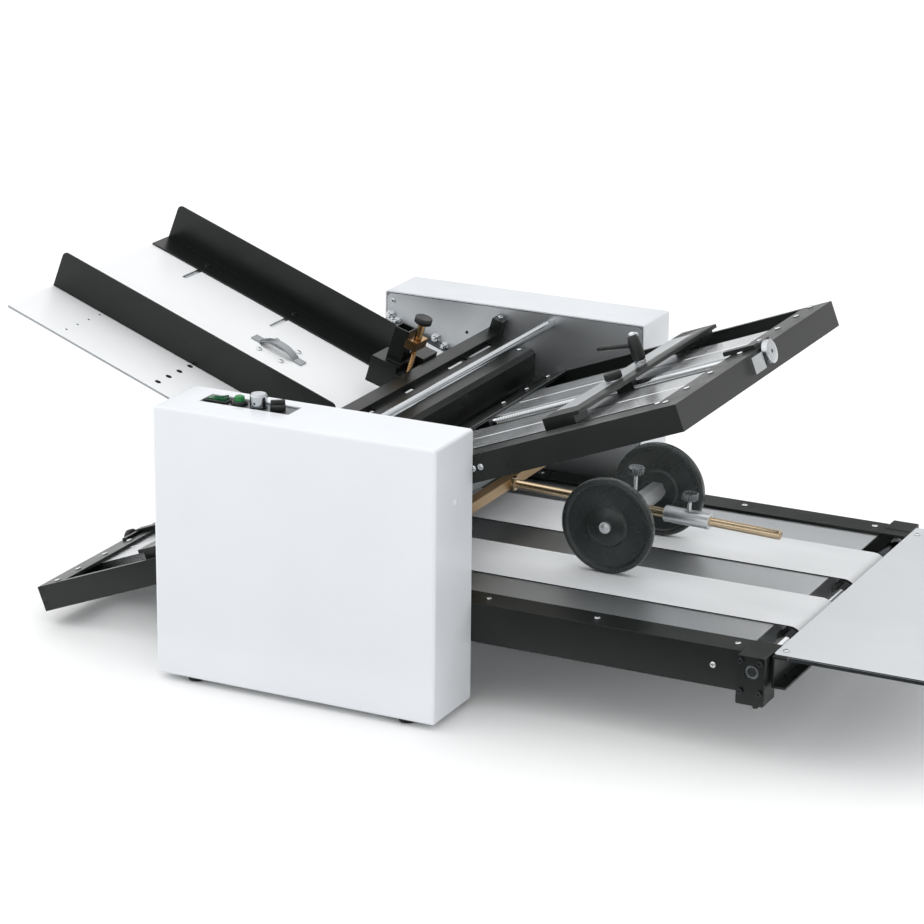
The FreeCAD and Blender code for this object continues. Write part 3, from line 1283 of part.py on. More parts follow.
def plate_stop(label, place):
    """Stop carriage: plate over the slats, blocks at its ends, and a lip in the paper slot.

    The web through the spindle's gap carries the lip; the spindle runs through the web.
    """
    body = new_body(f"{label}_carriage")
    left = "(-stop_far - stop_wide)"
    near = "(front_depth + stop_near_y)"
    far = f"({near} + stop_length)"
    under = "(stop_top - stop_sheet)"
    ride = "(-strip_sheet + slide_gap)"
    extrude(body, "XY", under, "stop_sheet", lambda s: block(s, left, near, "-stop_far", far))
    for start in (near, f"{far} - stop_block"):
        extrude(body, "XY", ride, f"{under} - {ride}", lambda s, start=start: block(
            s, left, start, f"{left} + stop_wide - 8", f"{start} + stop_block"))
    web_low = "(-strip_sheet - slat_thick - paper_slot + slide_gap)"
    extrude(body, "XY", web_low, f"{under} - {web_low}", lambda s: block(
        s, left, f"{SPINDLE_Y} - web_thick / 2", f"{left} + 24", f"{SPINDLE_Y} + web_thick / 2"))
    extrude(body, "XY", web_low, "paper_slot - 2 * slide_gap", lambda s: block(
        s, left, f"{near} + 4", f"{left} + lip_sheet", f"{far} - 4"))
    carve(body, "YZ", f"{left} - 1", "stop_wide + 2", lambda s: disc(
        s, SPINDLE_Y, "-spindle_drop", "spindle_radius + running_gap"))
    nut_y = f"({SPINDLE_Y} + nut_aside)"
    extrude(body, "XY", ride, f"nut_tab_top - {ride}", lambda s: block(
        s, f"{left} - nut_tab", f"{nut_y} - nut_spread", f"{left} + 4", f"{nut_y} + nut_spread"))
    extrude(body, "XY", ride, f"{under} - {ride}", lambda s: block(
        s, left, f"{SPINDLE_Y} - web_thick / 2", f"{left} + 12", f"{nut_y} + nut_spread"))
    seat(body, **place)
    nut = new_body(f"{label}_thumb_nut")
    turn_up(nut, "XZ", "V_Axis", lambda s: corners(s, [
        ("0", "nut_tab_top"), ("nut_spread", "nut_tab_top"), ("nut_spread", "nut_tab_top + nut_tall - 1"),
        ("nut_spread - 1", "nut_tab_top + nut_tall"), ("0", "nut_tab_top + nut_tall")]))
    spot = shifted(place, f"{left} - 1 - nut_spread", nut_y)
    seat(nut, **spot)
    gather(label, [body, nut])


def shifted(place, u, y):
    """A tilted place moved along its own slope, and across the paper."""
    tilt = place["tilt"]
    if place.get("turn", "0") == "0":
        return dict(place, x=f"{place['x']} + ({u}) * cos({tilt})", y=f"{place['y']} + {y}",
                    z=f"{place['z']} - ({u}) * sin({tilt})")
    return dict(place, x=f"{place['x']} - ({u}) * cos({tilt})", y=f"{place['y']} - ({y})",
                z=f"{place['z']} + ({u}) * sin({tilt})")


def adjusting_knob(label, reach, place):
    """Long spindle with its knob outside the end plate."""
    spindle = new_body(f"{label}_spindle")
    start = f"(-{reach} + 20.3)"
    extrude(spindle, "YZ", start, f"dial_off - {start}", lambda s: disc(s, "0", "0", "spindle_radius"))
    knob = new_body(f"{label}_dial")
    turn_up(knob, "XZ", "H_Axis", lambda s: corners(s, [
        ("dial_off", "0"), ("dial_off", "dial_radius - 1"), ("dial_off + 1", "dial_radius"),
        ("dial_off + dial_thick - 1", "dial_radius"), ("dial_off + dial_thick", "dial_radius - 1"),
        ("dial_off + dial_thick", "2.5"), ("dial_off + dial_thick - 3", "2.5"),
        ("dial_off + dial_thick - 3", "0")]))
    for piece in (spindle, knob):
        spot = shifted(place, "0", SPINDLE_Y)
        drop = dict(spot, x=f"{spot['x']} - spindle_drop * sin({spot['tilt']})",
                    z=f"{spot['z']} - spindle_drop * cos({spot['tilt']})")
        seat(piece, **drop)
    gather(label, [spindle, knob])


def clamp_lever():
    """Ratchet lever that locks the upper stop."""
    body = new_body("clamp_lever")
    turn_up(body, "XZ", "V_Axis", lambda s: corners(s, [
        ("0", "0"), ("lever_post - 1.5", "0"), ("lever_post", "2"), ("lever_post - 1", "lever_height - 8"),
        ("lever_post - 2.5", "lever_height"), ("3", "lever_height"), ("3", "lever_height + 3"),
        ("0", "lever_height + 3")]))
    extrude(body, "XZ", "-3.5", "7", lambda s: corners(s, [
        ("0", "lever_height - 21"), ("-lever_arm", "lever_height - 17"),
        ("-lever_arm", "lever_height - 11"), ("0", "lever_height - 9")]))
    spot = shifted(UPPER, "-lever_u", "front_depth + lever_y")
    seat(body, **dict(spot, x=f"{spot['x']} + (stop_top + slide_gap) * sin({spot['tilt']})",
                      z=f"{spot['z']} + (stop_top + slide_gap) * cos({spot['tilt']})"))
    publish(body)


# ---------------------------------------------------------------- conveyor
def conveyor_frame():
    """Two channel-section rails and the cross channel that carries the extension plate."""
    low = "(rail_top - rail_height)"
    top = "rail_top"
    pieces = []
    for side in ("front", "rear"):
        rail = new_body(f"{side}_rail")
        web = "rail_sheet"
        profile = [("0", low), ("rail_foot", low), ("rail_foot", f"{low} + {web}"), (web, f"{low} + {web}"),
                   (web, f"{top} - {web}"), ("rail_flange", f"{top} - {web}"), ("rail_flange", top),
                   ("0", top)]
        if side == "rear":
            profile = [(f"throat - ({y})", z) for y, z in profile]
        extrude(rail, "YZ", "rail_start", "rail_end - rail_start", lambda s: corners(s, profile))
        seat(rail, "0", FRONT_IN, "0")
        pieces.append(rail)
    cross = new_body("cross_channel")
    under = "(rail_top - cross_drop)"
    extrude(cross, "XZ", "0", "throat", lambda s: corners(s, [
        ("0", under), ("cross_width", under), ("cross_width", f"{under} + 3"), ("3", f"{under} + 3"),
        ("3", "rail_top - 3"), ("cross_width", "rail_top - 3"), ("cross_width", "rail_top"),
        ("0", "rail_top")]))
    seat(cross, "cross_start", FRONT_IN, "0")
    gather("conveyor_frame", pieces + [cross])


def conveyor_bed():
    """Steel bed under the belts, hung from the rails' flanges."""
    body = new_body("conveyor_bed")
    top = "(rail_top - rail_sheet)"
    extrude(body, "XY", f"{top} - bed_sheet", "bed_sheet", lambda s: block(
        s, "rail_start", f"{FRONT_IN} + rail_sheet + 1", "bed_end", f"{REAR_IN} - rail_sheet - 1"))
    seat(body)
    publish(body)


def conveyor_belts():
    """Two flat belts round the drive roller and the end roller."""
    body = new_body("belt_pattern")

    def loops(sketch):
        for radius in (f"{BAND_IN} + band_thick", BAND_IN):
            oblong(sketch, DRIVE[0], DRIVE[1], END[0], END[1], radius)

    extrude(body, "XZ", "-band_width / 2", "band_width", loops)
    places = [seated(y=f"{MIDDLE} - band_offset"), seated(y=f"{MIDDLE} + band_offset")]
    publish(copies("conveyor_belts", body, places))


SLEEVE_ENDS = ("(front_depth + rail_flange + 2)", f"({REAR_IN} - rail_flange - 2)")


def drive_roller():
    """Steel roller that drives the belts, with its pulley in the front housing."""
    core = shaft("drive_roller_shaft", "(second_belt_near - 4)", f"{REAR_IN} + side_plate + shaft_past")
    sleeve = tube("drive_roller_tube", *SLEEVE_ENDS, "conveyor_radius", "shaft_radius + seat_gap")
    for piece in (core, sleeve):
        seat(piece, DRIVE[0], "0", DRIVE[1])
    wheel = pulley_shape("side_pulley_radius", "second_belt_near")
    pulley = solids("drive_pulley", wheel, seated(DRIVE[0], "0", DRIVE[1]))
    gather("drive_roller", [core, sleeve, pulley])


def end_roller():
    """Shaft with slotted ends, and a drum on it under each belt."""
    reach = "(end_block_out - bearing_recess)"
    near, far = f"(front_depth - {reach})", f"({REAR_IN} + {reach})"
    core = shaft("end_roller_shaft", near, far)
    extrude(core, "XZ", SLEEVE_ENDS[0], f"{SLEEVE_ENDS[1]} - {SLEEVE_ENDS[0]}", lambda s: disc(
        s, "0", "0", "core_radius"))
    for start in (f"{near} - 1", f"{far} - 1"):
        carve(core, "XZ", start, "2", lambda s: block(
            s, "-shaft_radius - 1", "-0.7", "shaft_radius + 1", "0.7"))
    pieces = [core]
    for side, sign in (("front", "-"), ("rear", "+")):
        start = f"({MIDDLE} {sign} band_offset - band_width / 2 - drum_past)"
        pieces.append(tube(f"{side}_drum", start, f"({start} + band_width + 2 * drum_past)",
                           "conveyor_radius", "core_radius + seat_gap"))
    for piece in pieces:
        seat(piece, END[0], "0", END[1])
    gather("end_roller", pieces)


def end_blocks():
    """Black blocks on the ends of the rails, bored for the end roller, each with a tension screw."""
    pieces = []
    top = "(rail_top + 0.5)"
    for side in ("front", "rear"):
        near, far = "(front_depth - end_block_out)", "(front_depth + end_block_in)"
        lip = (far, "(front_depth + rail_flange)")
        if side == "rear":
            near, far = f"({REAR_IN} - end_block_in)", f"({REAR_IN} + end_block_out)"
            lip = (f"({REAR_IN} - rail_flange)", near)
        piece = new_body(f"{side}_end_block")
        extrude(piece, "XZ", near, f"{far} - {near}", lambda s: block(
            s, "rail_end", f"{top} - end_block_tall", "rail_end + end_block_length", top))
        round_edges(piece, "2", lambda e: along(e, 1))
        extrude(piece, "XZ", lip[0], f"{lip[1]} - {lip[0]}", lambda s: block(
            s, "rail_end", "rail_top - rail_sheet", "cross_start", "rail_top"))
        carve(piece, "XZ", f"{near} - 1", f"{far} - {near} + 2",
              lambda s: disc(s, END[0], END[1], "block_bearing + seat_gap"))
        seat(piece)
        pieces.append(piece)
        tension = new_body(f"{side}_tension_screw")
        turn_up(tension, "XZ", "V_Axis", lambda s: corners(s, [
            ("0", "-9"), ("3.5", "-9"), ("3.5", "-3"), ("2.5", "-3"), ("2.5", "0"), ("0", "0")]))
        seat(tension, END[0], f"({near} + {far}) / 2", f"{top} - end_block_tall")
        pieces.append(tension)
    gather("end_blocks", pieces)


def extension_plate():
    """Steel plate that lengthens the conveyor."""
    body = new_body("extension_plate")
    near = f"({FRONT_IN} + extension_inset)"
    extrude(body, "XY", "rail_top", "extension_sheet", lambda s: block(
        s, "cross_start", near, "cross_start + extension_length", f"{REAR_IN} - extension_inset"))
    round_edges(body, "5", lambda e: along(e, 2))
    seat(body)
    publish(body)


# ---------------------------------------------------------------- press wheels
def carrier_bar():
    """Square bar between the side plates, turning on its two pivots."""
    body = new_body("carrier_bar")
    half = "carrier_side / 2"
    near = "(front_depth + slide_gap - press_y)"
    far = f"({REAR_IN} - slide_gap - press_y)"
    extrude(body, "XZ", near, f"{far} - {near}", lambda s: block(s, f"-{half}", f"-{half}", half, half))
    for start in (f"{near} - side_plate", far):
        extrude(body, "XZ", start, "side_plate", lambda s: disc(s, "0", "0", "carrier_pivot"))
    seat(body, **PRESS)
    publish(body)


def wheel_rod():
    """Round rod with the nut that locks it to the square bar."""
    rod = new_body("wheel_rod_bar")
    half = "(carrier_side / 2)"
    turn_up(rod, "XZ", "H_Axis", lambda s: corners(s, [
        (half, "0"), (half, "rod_radius"), (f"{half} + rod_length - 1.5", "rod_radius"),
        (f"{half} + rod_length", "rod_radius - 1.5"), (f"{half} + rod_length", "0")]))
    nut = new_body("wheel_rod_nut")
    extrude(nut, "YZ", half, "nut_thick", lambda s: hexagon(s, "nut_radius"))
    carve(nut, "YZ", f"{half} - 1", "nut_thick + 2", lambda s: disc(s, "0", "0", "rod_radius + seat_gap"))
    for piece in (rod, nut):
        seat(piece, **PRESS)
    gather("wheel_rod", [rod, nut])


def hexagon(sketch, radius):
    """A hexagon round the sketch's origin, flat at its top."""
    half = f"({radius} * cos(30))"
    quarter = f"({radius} / 2)"
    corners(sketch, [(radius, "0"), (quarter, half), (f"-{quarter}", half), (f"-{radius}", "0"),
                     (f"-{quarter}", f"-{half}"), (quarter, f"-{half}")])


def wheel_hub():
    """Hexagonal hub on the rod, with the wheels' axle through it and a cap at each end."""
    hub = new_body("wheel_hub")
    hub_radius = "(hex_flats / 2 / cos(30))"
    inner = "(wheel_track / 2 - wheel_thick / 2 - hex_gap)"
    outer = "(wheel_track / 2 + wheel_thick / 2 + slide_gap)"
    extrude(hub, "XZ", f"-{inner}", f"2 * {inner}", lambda s: hexagon(s, hub_radius))
    for start in (f"-{outer}", inner):
        extrude(hub, "XZ", start, f"{outer} - {inner}", lambda s: disc(s, "0", "0", "axle_radius"))
    for start in (f"-{outer} - cap_thick", outer):
        extrude(hub, "XZ", start, "cap_thick", lambda s: disc(s, "0", "0", "cap_radius"))
    carve(hub, "YZ", "-hex_flats", "2 * hex_flats", lambda s: disc(s, "0", "0", "rod_radius + running_gap"))
    carve(hub, "XY", "0", "hex_flats", lambda s: disc(s, "0", "0", "thumb_stem + running_gap"))
    seat(hub, **rod_spot("wheel_reach"))
    publish(hub)


def rod_spot(reach, y="0"):
    """A place on the wheel rod, at a distance from the square bar's middle."""
    return dict(PRESS, x=f"carrier_x + {reach} * cos(press_slope)", y=f"press_y + {y}",
                z=f"{CARRIER_Z} - {reach} * sin(press_slope)")


def press_wheel(label, side):
    """A moulded disc wheel: raised hub, rim, and a web below them on both faces."""
    body = new_body(label)
    half = "wheel_thick / 2"
    web = f"({half} - wheel_web)"
    bore = "axle_radius + running_gap"
    rim = "(wheel_radius - wheel_rim)"
    turn_up(body, "YZ", "H_Axis", lambda s: corners(s, [
        (f"-{half}", bore), (f"-{half}", "wheel_hub"), (f"-{web}", "wheel_hub + 2"),
        (f"-{web}", f"{rim} - 2"), (f"-{half}", rim), (f"-{half}", "wheel_radius"),
        (half, "wheel_radius"), (half, rim), (web, f"{rim} - 2"),
        (web, "wheel_hub + 2"), (half, "wheel_hub"), (half, bore)]))
    seat(body, **rod_spot("wheel_reach", f"{side} * wheel_track / 2"))
    publish(body)


def thumb_screw(label, reach, rise):
    """Knurled thumb screw that stands on the rod."""
    body = new_body(label)
    low = "(rod_radius + slide_gap)"
    head = f"({rise} - thumb_height)"
    turn_up(body, "XZ", "V_Axis", lambda s: corners(s, [
        ("0", low), ("thumb_stem", low), ("thumb_stem", head), ("thumb_radius - 1", head),
        ("thumb_radius", f"{head} + 1"), ("thumb_radius", f"{rise} - 1"), ("thumb_radius - 1", rise),
        ("0", rise)]))
    seat(body, **rod_spot(reach))
    publish(body)


def wheel_sleeve():
    """Chromed stop sleeve that slides on the rod."""
    body = new_body("wheel_sleeve")
    bore = "(rod_radius + running_gap)"
    turn_up(body, "XZ", "H_Axis", lambda s: corners(s, [
        ("0", bore), ("0", "sleeve_radius - 1"), ("1", "sleeve_radius"),
        ("sleeve_length - 1", "sleeve_radius"),
        ("sleeve_length", "sleeve_radius - 1"), ("sleeve_length", bore)]))
    carve(body, "XY", "0", "sleeve_radius + 2", lambda s: disc(
        s, "sleeve_screw_in", "0", "thumb_stem + running_gap"))
    seat(body, **rod_spot("sleeve_reach"))
    publish(body)


# ---------------------------------------------------------------- fasteners
def pan_body(label):
    """Head of a pan screw, standing on its own underside."""
    body = new_body(label)
    extrude(body, "XY", "0", "pan_height", lambda s: disc(s, "0", "0", "pan_radius"))
    return body


def socket_body(label):
    """Head of a socket screw."""
    body = new_body(label)
    extrude(body, "XY", "0", "socket_height", lambda s: disc(s, "0", "0", "socket_radius"))
    carve(body, "XY", "socket_height - 2", "3", lambda s: hexagon(s, "socket_hex"))
    return body


def head_place(frame, x, y, z, facing):
    """A screw head's place inside a frame, with its axis along x, -x, y, -y or z."""
    turns = {
        "z": FreeCAD.Rotation(),
        "y": FreeCAD.Rotation(FreeCAD.Vector(1, 0, 0), -90),
        "-y": FreeCAD.Rotation(FreeCAD.Vector(1, 0, 0), 90),
        "x": FreeCAD.Rotation(FreeCAD.Vector(0, 1, 0), 90),
        "-x": FreeCAD.Rotation(FreeCAD.Vector(0, 1, 0), -90),
    }
    return seated(**frame).multiply(FreeCAD.Placement(vec(x, y, z), turns[facing]))


def fixing_screws():
    """Heads of the screws that hold the machine together."""
    pan = []
    for x in ("screw_inset_x", "housing_length - screw_inset_x"):
        for z in ("screw_inset_z", "housing_height - screw_inset_z"):
            pan.append(head_place({}, x, FRONT_IN, z, "y"))
            pan.append(head_place({}, x, REAR_IN, z, "-y"))
    pan.append(head_place({}, "housing_length", "front_depth * 0.53", "housing_height * 0.775", "x"))
    for x in ("rail_start + 22", "(rail_start + rail_end) / 2 + 62", "rail_end - 13"):
        pan.append(head_place({}, x, f"{FRONT_IN} + rail_flange / 2", "rail_top", "z"))
        pan.append(head_place({}, x, f"{REAR_IN} - rail_flange / 2", "rail_top", "z"))
    for y in (f"{FRONT_IN} + cross_width", f"{REAR_IN} - cross_width * 1.8"):
        pan.append(head_place({}, "cross_start + cross_width * 0.6", y, "rail_top + extension_sheet", "z"))
    guard_mid = "(guard_left + guard_right) / 2 + 4"
    for y in (f"{FRONT_IN} + 14", f"{REAR_IN} - 14"):
        pan.append(head_place({}, guard_mid, y, "guard_top", "z"))
    socket = []
    for x in ("rail_end + 5.5", "rail_end + end_block_length - 5.5"):
        for z in ("rail_top - 5.5", "rail_top - end_block_tall * 0.72"):
            socket.append(head_place({}, x, "front_depth - end_block_out", z, "-y"))
            socket.append(head_place({}, x, f"{REAR_IN} + end_block_out", z, "y"))
    for y in (f"{FRONT_IN} + beam_block / 2", f"{REAR_IN} - beam_block / 2"):
        socket.append(head_place(BEAM, "2 + beam_block / 2", y, "beam_block", "z"))
    heads = [copies("pan_heads", pan_body("pan_pattern"), pan),
             copies("socket_heads", socket_body("socket_pattern"), socket)]
    gather("fixing_screws", heads)


# ---------------------------------------------------------------- build, check and write
def build():
    fill_sheet()
    front_cover()
    rear_cover()
    side_plates()
    rubber_feet()
    tie_rods()
    control_panel()
    control_bezels()
    power_rocker()
    start_button()
    speed_knob()
    selector_knob()
    power_inlet()
    fold_roller("infeed_roller", INFEED, f"{GEAR_Y} - 4")
    fold_roller("main_roller", MAIN, "belt_near - 4")
    fold_roller("fold_roller", FOLD, f"{GEAR_Y} - 4")
    fold_roller("delivery_roller", DELIVERY, f"{GEAR_Y} - 4")
    roller_gears()
    main_motor()
    motor_pulley()
    drive_belts()
    roller_bearings()
    roller_guard()
    feed_table()
    front_guide()
    rear_guide()
    pile_strap()
    feed_roller()
    cross_beam()
    separator_bracket()
    separator_block()
    separator_screw()
    plate_frame("upper_plate_frame", "upper_reach", UPPER)
    plate_frame("lower_plate_frame", "lower_reach", LOWER)
    plate_slats("upper_slats", "upper_reach", UPPER)
    plate_slats("lower_slats", "lower_reach", LOWER)
    plate_strips()
    plate_stop("upper_stop", UPPER)
    plate_stop("lower_stop", LOWER)
    clamp_lever()
    adjusting_knob("upper_adjuster", "upper_reach", UPPER)
    adjusting_knob("lower_adjuster", "lower_reach", LOWER)
    conveyor_frame()
    conveyor_bed()
    conveyor_belts()
    drive_roller()
    end_roller()
    end_blocks()
    extension_plate()
    carrier_bar()
    wheel_rod()
    wheel_hub()
    press_wheel("front_wheel", "-1")
    press_wheel("rear_wheel", "1")
    thumb_screw("hub_screw", "wheel_reach", "hub_screw_rise")
    wheel_sleeve()
    thumb_screw("sleeve_screw", "(sleeve_reach + sleeve_screw_in)", "sleeve_screw_rise")
    fixing_screws()
    doc.recompute()


def check():
    """Stop on a failed object, an empty or broken shape, or a cut that removes nothing."""
    failed = [item.Label for item in doc.Objects if {"Invalid", "Error"} & set(item.State)]
    if failed:
        raise RuntimeError(f"failed objects: {failed}")
    for item in doc.Objects:
        if item.TypeId == "PartDesign::Pocket":
            before = item.BaseFeature.Shape.Volume
            if before - item.Shape.Volume < 1e-3:
                raise RuntimeError(f"{item.Label} cuts nothing")
    for node in nodes:
        if node.Shape.isNull() or not node.Shape.isValid() or not node.Shape.Solids:
            raise RuntimeError(f"{node.Label} has no valid shape")


def write():
    os.makedirs("parts", exist_ok=True)
    for node in nodes:
        node.Shape.exportStep(f"parts/{node.Label}.step")
    print(len(nodes), "nodes,", sum(len(node.Shape.Solids) for node in nodes), "solids")


build()
check()
write()
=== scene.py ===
# %% [markdown]
# # A tabletop paper folding machine
# The machine has two sheet-metal housings, a sloping feed table, two folding plates with a grid of
# aluminium slats, and a belt conveyor with two press wheels. This lesson dresses its plain CAD model.
# Sheet metal and machined blocks get the small radii that catch the light. Turned and moulded pieces, such
# as knobs, screws and wheels, are modelled anew, and every surface gets the finish that its maker gave it.
# The CAD model is loaded first, because each new piece takes its place from it.

# %% Load the CAD model
import json
import math

import bmesh
import bpy
from mathutils import Matrix, Vector


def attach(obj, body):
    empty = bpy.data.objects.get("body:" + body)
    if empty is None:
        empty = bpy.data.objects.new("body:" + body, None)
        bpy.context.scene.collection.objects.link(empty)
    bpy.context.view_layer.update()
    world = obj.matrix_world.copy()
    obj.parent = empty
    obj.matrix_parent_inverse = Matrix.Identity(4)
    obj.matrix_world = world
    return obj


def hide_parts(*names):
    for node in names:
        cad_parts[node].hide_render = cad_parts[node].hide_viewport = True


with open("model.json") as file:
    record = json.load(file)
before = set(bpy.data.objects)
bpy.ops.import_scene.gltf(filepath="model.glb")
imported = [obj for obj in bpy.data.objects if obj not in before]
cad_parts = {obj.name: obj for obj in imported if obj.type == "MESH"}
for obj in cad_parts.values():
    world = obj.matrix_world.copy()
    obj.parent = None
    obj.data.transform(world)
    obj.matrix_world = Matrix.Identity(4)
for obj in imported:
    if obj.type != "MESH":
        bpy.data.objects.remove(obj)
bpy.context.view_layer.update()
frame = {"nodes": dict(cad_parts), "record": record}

nodes = frame["nodes"]
body_of_node = {node: body for body, group in frame["record"]["behaviour"]["bodies"].items()
                for node in group}

# %% [markdown]
# ## Measures
# Sizes are written in millimetres, as on a workshop drawing, and Blender counts in metres. The machine's
# own axes run x along the paper path from the housings' left faces, y from the front face backwards, and
# z up from the underside of the housings, so a place on the machine is easy to read. The feed table, the
# cross beam, the folding plates and the wheel rod slope, so each has axes of its own: u along its slope,
# y across the paper, and w square to its surface.

# %% From the drawing to Blender
LEFT_FACE, FRONT_FACE, FOOT_HEIGHT = -370, -354, 8
FRONT_IN, REAR_IN = 100, 620  # the faces of the two side plates, towards the paper


def mm(size):
    """Millimetres as Blender's metres."""
    return size / 1000


def place(x, y, z, tilt=0, turn=0):
    """Where a piece sits: tilt lowers its far end about y, and turn comes first, about z."""
    spot = Matrix.Translation((mm(x + LEFT_FACE), mm(y + FRONT_FACE), mm(z + FOOT_HEIGHT)))
    tilted = Matrix.Rotation(math.radians(tilt), 4, "Y")
    return spot @ tilted @ Matrix.Rotation(math.radians(turn), 4, "Z")


def along(sloping, u, y, w):
    """A place inside sloping axes, in their own millimetres."""
    return sloping @ Matrix.Translation((mm(u), mm(y), mm(w)))


TABLE_LENGTH, TABLE_TILT = 436, 20.7  # up the slope, in millimetres and degrees
TABLE_SLOPE = math.radians(TABLE_TILT)
TABLE = place(131.9 - TABLE_LENGTH * math.cos(TABLE_SLOPE), 0,
              264.4 + TABLE_LENGTH * math.sin(TABLE_SLOPE), tilt=TABLE_TILT)
BEAM = place(165.6, 0, 321.7, tilt=17)
UPPER_TILT, LOWER_TILT = -21.2, -21.3
UPPER = place(651.6, 0, 418.4, tilt=UPPER_TILT)
LOWER = place(-242.5, 720, 39.7, tilt=LOWER_TILT, turn=180)
UPPER_REACH, LOWER_REACH = 436, 452  # the folding plates' lengths up their slopes
SPINDLE_Y, SPINDLE_DROP = 378, 8.4  # a spindle's place across the paper, and below the slats' top
PRESS = place(312, 364, 193.42, tilt=1.8)  # where the wheel rod leaves the yellow bar

# A new piece is made pointing up, and turned to face another way.
FACING = {
    "y": Matrix.Rotation(-math.pi / 2, 4, "X"), "-y": Matrix.Rotation(math.pi / 2, 4, "X"),
    "x": Matrix.Rotation(math.pi / 2, 4, "Y"),
}
print("upper plate's end stands at", [round(1000 * v) for v in UPPER.translation])

# %% [markdown]
# ## Camera
# The camera looks down on the machine from the front right. A long lens from four metres away keeps the
# housings' edges nearly parallel.

# %% Camera
bpy.ops.object.camera_add(location=(1.71604, -3.73788, 1.57222))
camera = bpy.context.object
camera.name = "studio_camera"
camera.rotation_euler = (math.radians(72.0353), math.radians(-0.5069), math.radians(26.3127))
camera.data.lens = 131.45
camera.data.sensor_width = 36
camera.data.clip_end = 60
bpy.context.scene.camera = camera
print("camera lens", camera.data.lens, "mm")

# %% [markdown]
# ## Selecting, shaping and finishing
# Blender's operators act on everything that is selected, and loading leaves the CAD nodes selected. So
# each step starts by clearing the selection. A finished piece keeps its place in its mesh, with its object
# at the world's origin, and rides on the body that carries it.

# %% Helpers for selecting
def only(obj):
    """Select one object, and make it the active one."""
    bpy.ops.object.select_all(action="DESELECT")
    obj.select_set(True)
    bpy.context.view_layer.objects.active = obj


def edit(obj):
    """Open one object in edit mode, with all of it selected."""
    only(obj)
    bpy.ops.object.mode_set(mode="EDIT")
    bpy.ops.mesh.select_mode(type="VERT")
    bpy.ops.mesh.select_all(action="SELECT")


def leave_edit():
    bpy.ops.object.mode_set(mode="OBJECT")


def pick(obj, wanted):
    """In edit mode, select the faces for which wanted(centre in millimetres, normal) is true."""
    bpy.ops.mesh.select_all(action="DESELECT")
    bpy.ops.mesh.select_mode(type="FACE")
    mesh = bmesh.from_edit_mesh(obj.data)
    for face in mesh.faces:
        face.select_set(bool(wanted(face.calc_center_median() * 1000, face.normal)))
    bmesh.update_edit_mesh(obj.data)


# %% [markdown]
# A modifier could stay live, but the next step often needs its result, so each one is applied at once. A
# rounded edge is a bevel modifier with an angle limit, because it finds every sharp edge by itself, and
# weighted normals after it keep the broad faces looking flat.

# %% Helpers for shaping and finishing
def settle(obj, where=Matrix.Identity(4)):
    """Carry the object to a place, and move that place, its turn and size into the mesh."""
    obj.matrix_world = where @ obj.matrix_world
    only(obj)
    bpy.ops.object.transform_apply(location=True, rotation=True, scale=True)
    return obj


def modify(obj, kind, **settings):
    """Add a modifier with its settings, and apply it."""
    only(obj)
    modifier = obj.modifiers.new(kind.title(), kind)
    for name, value in settings.items():
        setattr(modifier, name, value)
    bpy.ops.object.modifier_apply(modifier=modifier.name)
    return obj


def smooth(obj, angle=32):
    """Shade smooth between edges that turn less than an angle."""
    only(obj)
    bpy.ops.object.shade_smooth_by_angle(angle=math.radians(angle))
    return obj


def round_corners(obj, radius, segments=2, angle=32):
    """Round the edges that turn more than an angle, then shade the piece smooth between them."""
    modify(obj, "BEVEL", width=mm(radius), segments=segments, limit_method="ANGLE",
           angle_limit=math.radians(angle), use_clamp_overlap=True)
    smooth(obj, angle)
    modify(obj, "WEIGHTED_NORMAL", keep_sharp=True)
    return obj


def cut(obj, cutter):
    """Cut another object's volume out of this one."""
    modify(obj, "BOOLEAN", object=cutter, operation="DIFFERENCE", solver="EXACT")
    bpy.data.objects.remove(cutter)
    return obj


def join_all(pieces):
    """Join several objects into the first."""
    bpy.ops.object.select_all(action="DESELECT")
    for piece in pieces:
        piece.select_set(True)
    bpy.context.view_layer.objects.active = pieces[0]
    bpy.ops.object.join()
    return pieces[0]


def fit(obj, name, node, finish, *instead_of):
    """Name a piece, give it a finish, set it on its node's body, and let it stand for CAD nodes."""
    obj.name = name
    obj.data.name = name
    obj.data.materials.clear()
    obj.data.materials.append(finish)
    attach(obj, body_of_node[node])
    if instead_of:
        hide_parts(*instead_of)
    return obj


# %% [markdown]
# Turned pieces are made as on a lathe: a circle is added, then extruded and resized from one radius and
# height to the next. A bored piece starts as an open circle, and its path returns to where it began, so
# that merging closes the tube. A block is a cube drawn out between two corners, and never left plain.

# %% Helpers for turned pieces and blocks
WELD = 0.000005  # metres; points nearer than this become one


def turned(path, sides=48, bored=False):
    """A piece turned about z, from a path of radii and heights in millimetres."""
    radius, height = path[0]
    bpy.ops.object.select_all(action="DESELECT")
    bpy.ops.mesh.primitive_circle_add(vertices=sides, radius=mm(radius), location=(0, 0, mm(height)),
                                      fill_type="NOTHING" if bored else "NGON")
    obj = settle(bpy.context.object)
    edit(obj)
    for new_radius, new_height in path[1:]:
        rise = (0, 0, mm(new_height - height))
        bpy.ops.mesh.extrude_region_move(TRANSFORM_OT_translate={"value": rise})
        factor = new_radius / radius
        bpy.ops.transform.resize(value=(factor, factor, 1), center_override=(0, 0, mm(new_height)))
        radius, height = new_radius, new_height
    bpy.ops.mesh.select_all(action="SELECT")
    bpy.ops.mesh.remove_doubles(threshold=WELD)
    bpy.ops.mesh.normals_make_consistent(inside=False)
    leave_edit()
    return smooth(obj)


def ridges(path, low, high, outer, inner, pitch):
    """Continue a path with the ridges of a thread, drawn as rings from one height to another."""
    count = round((high - low) / pitch)
    step = (high - low) / count
    for k in range(count):
        path += [(inner, low + k * step), (outer, low + (k + 0.5) * step)]
    path.append((inner, high))
    return path


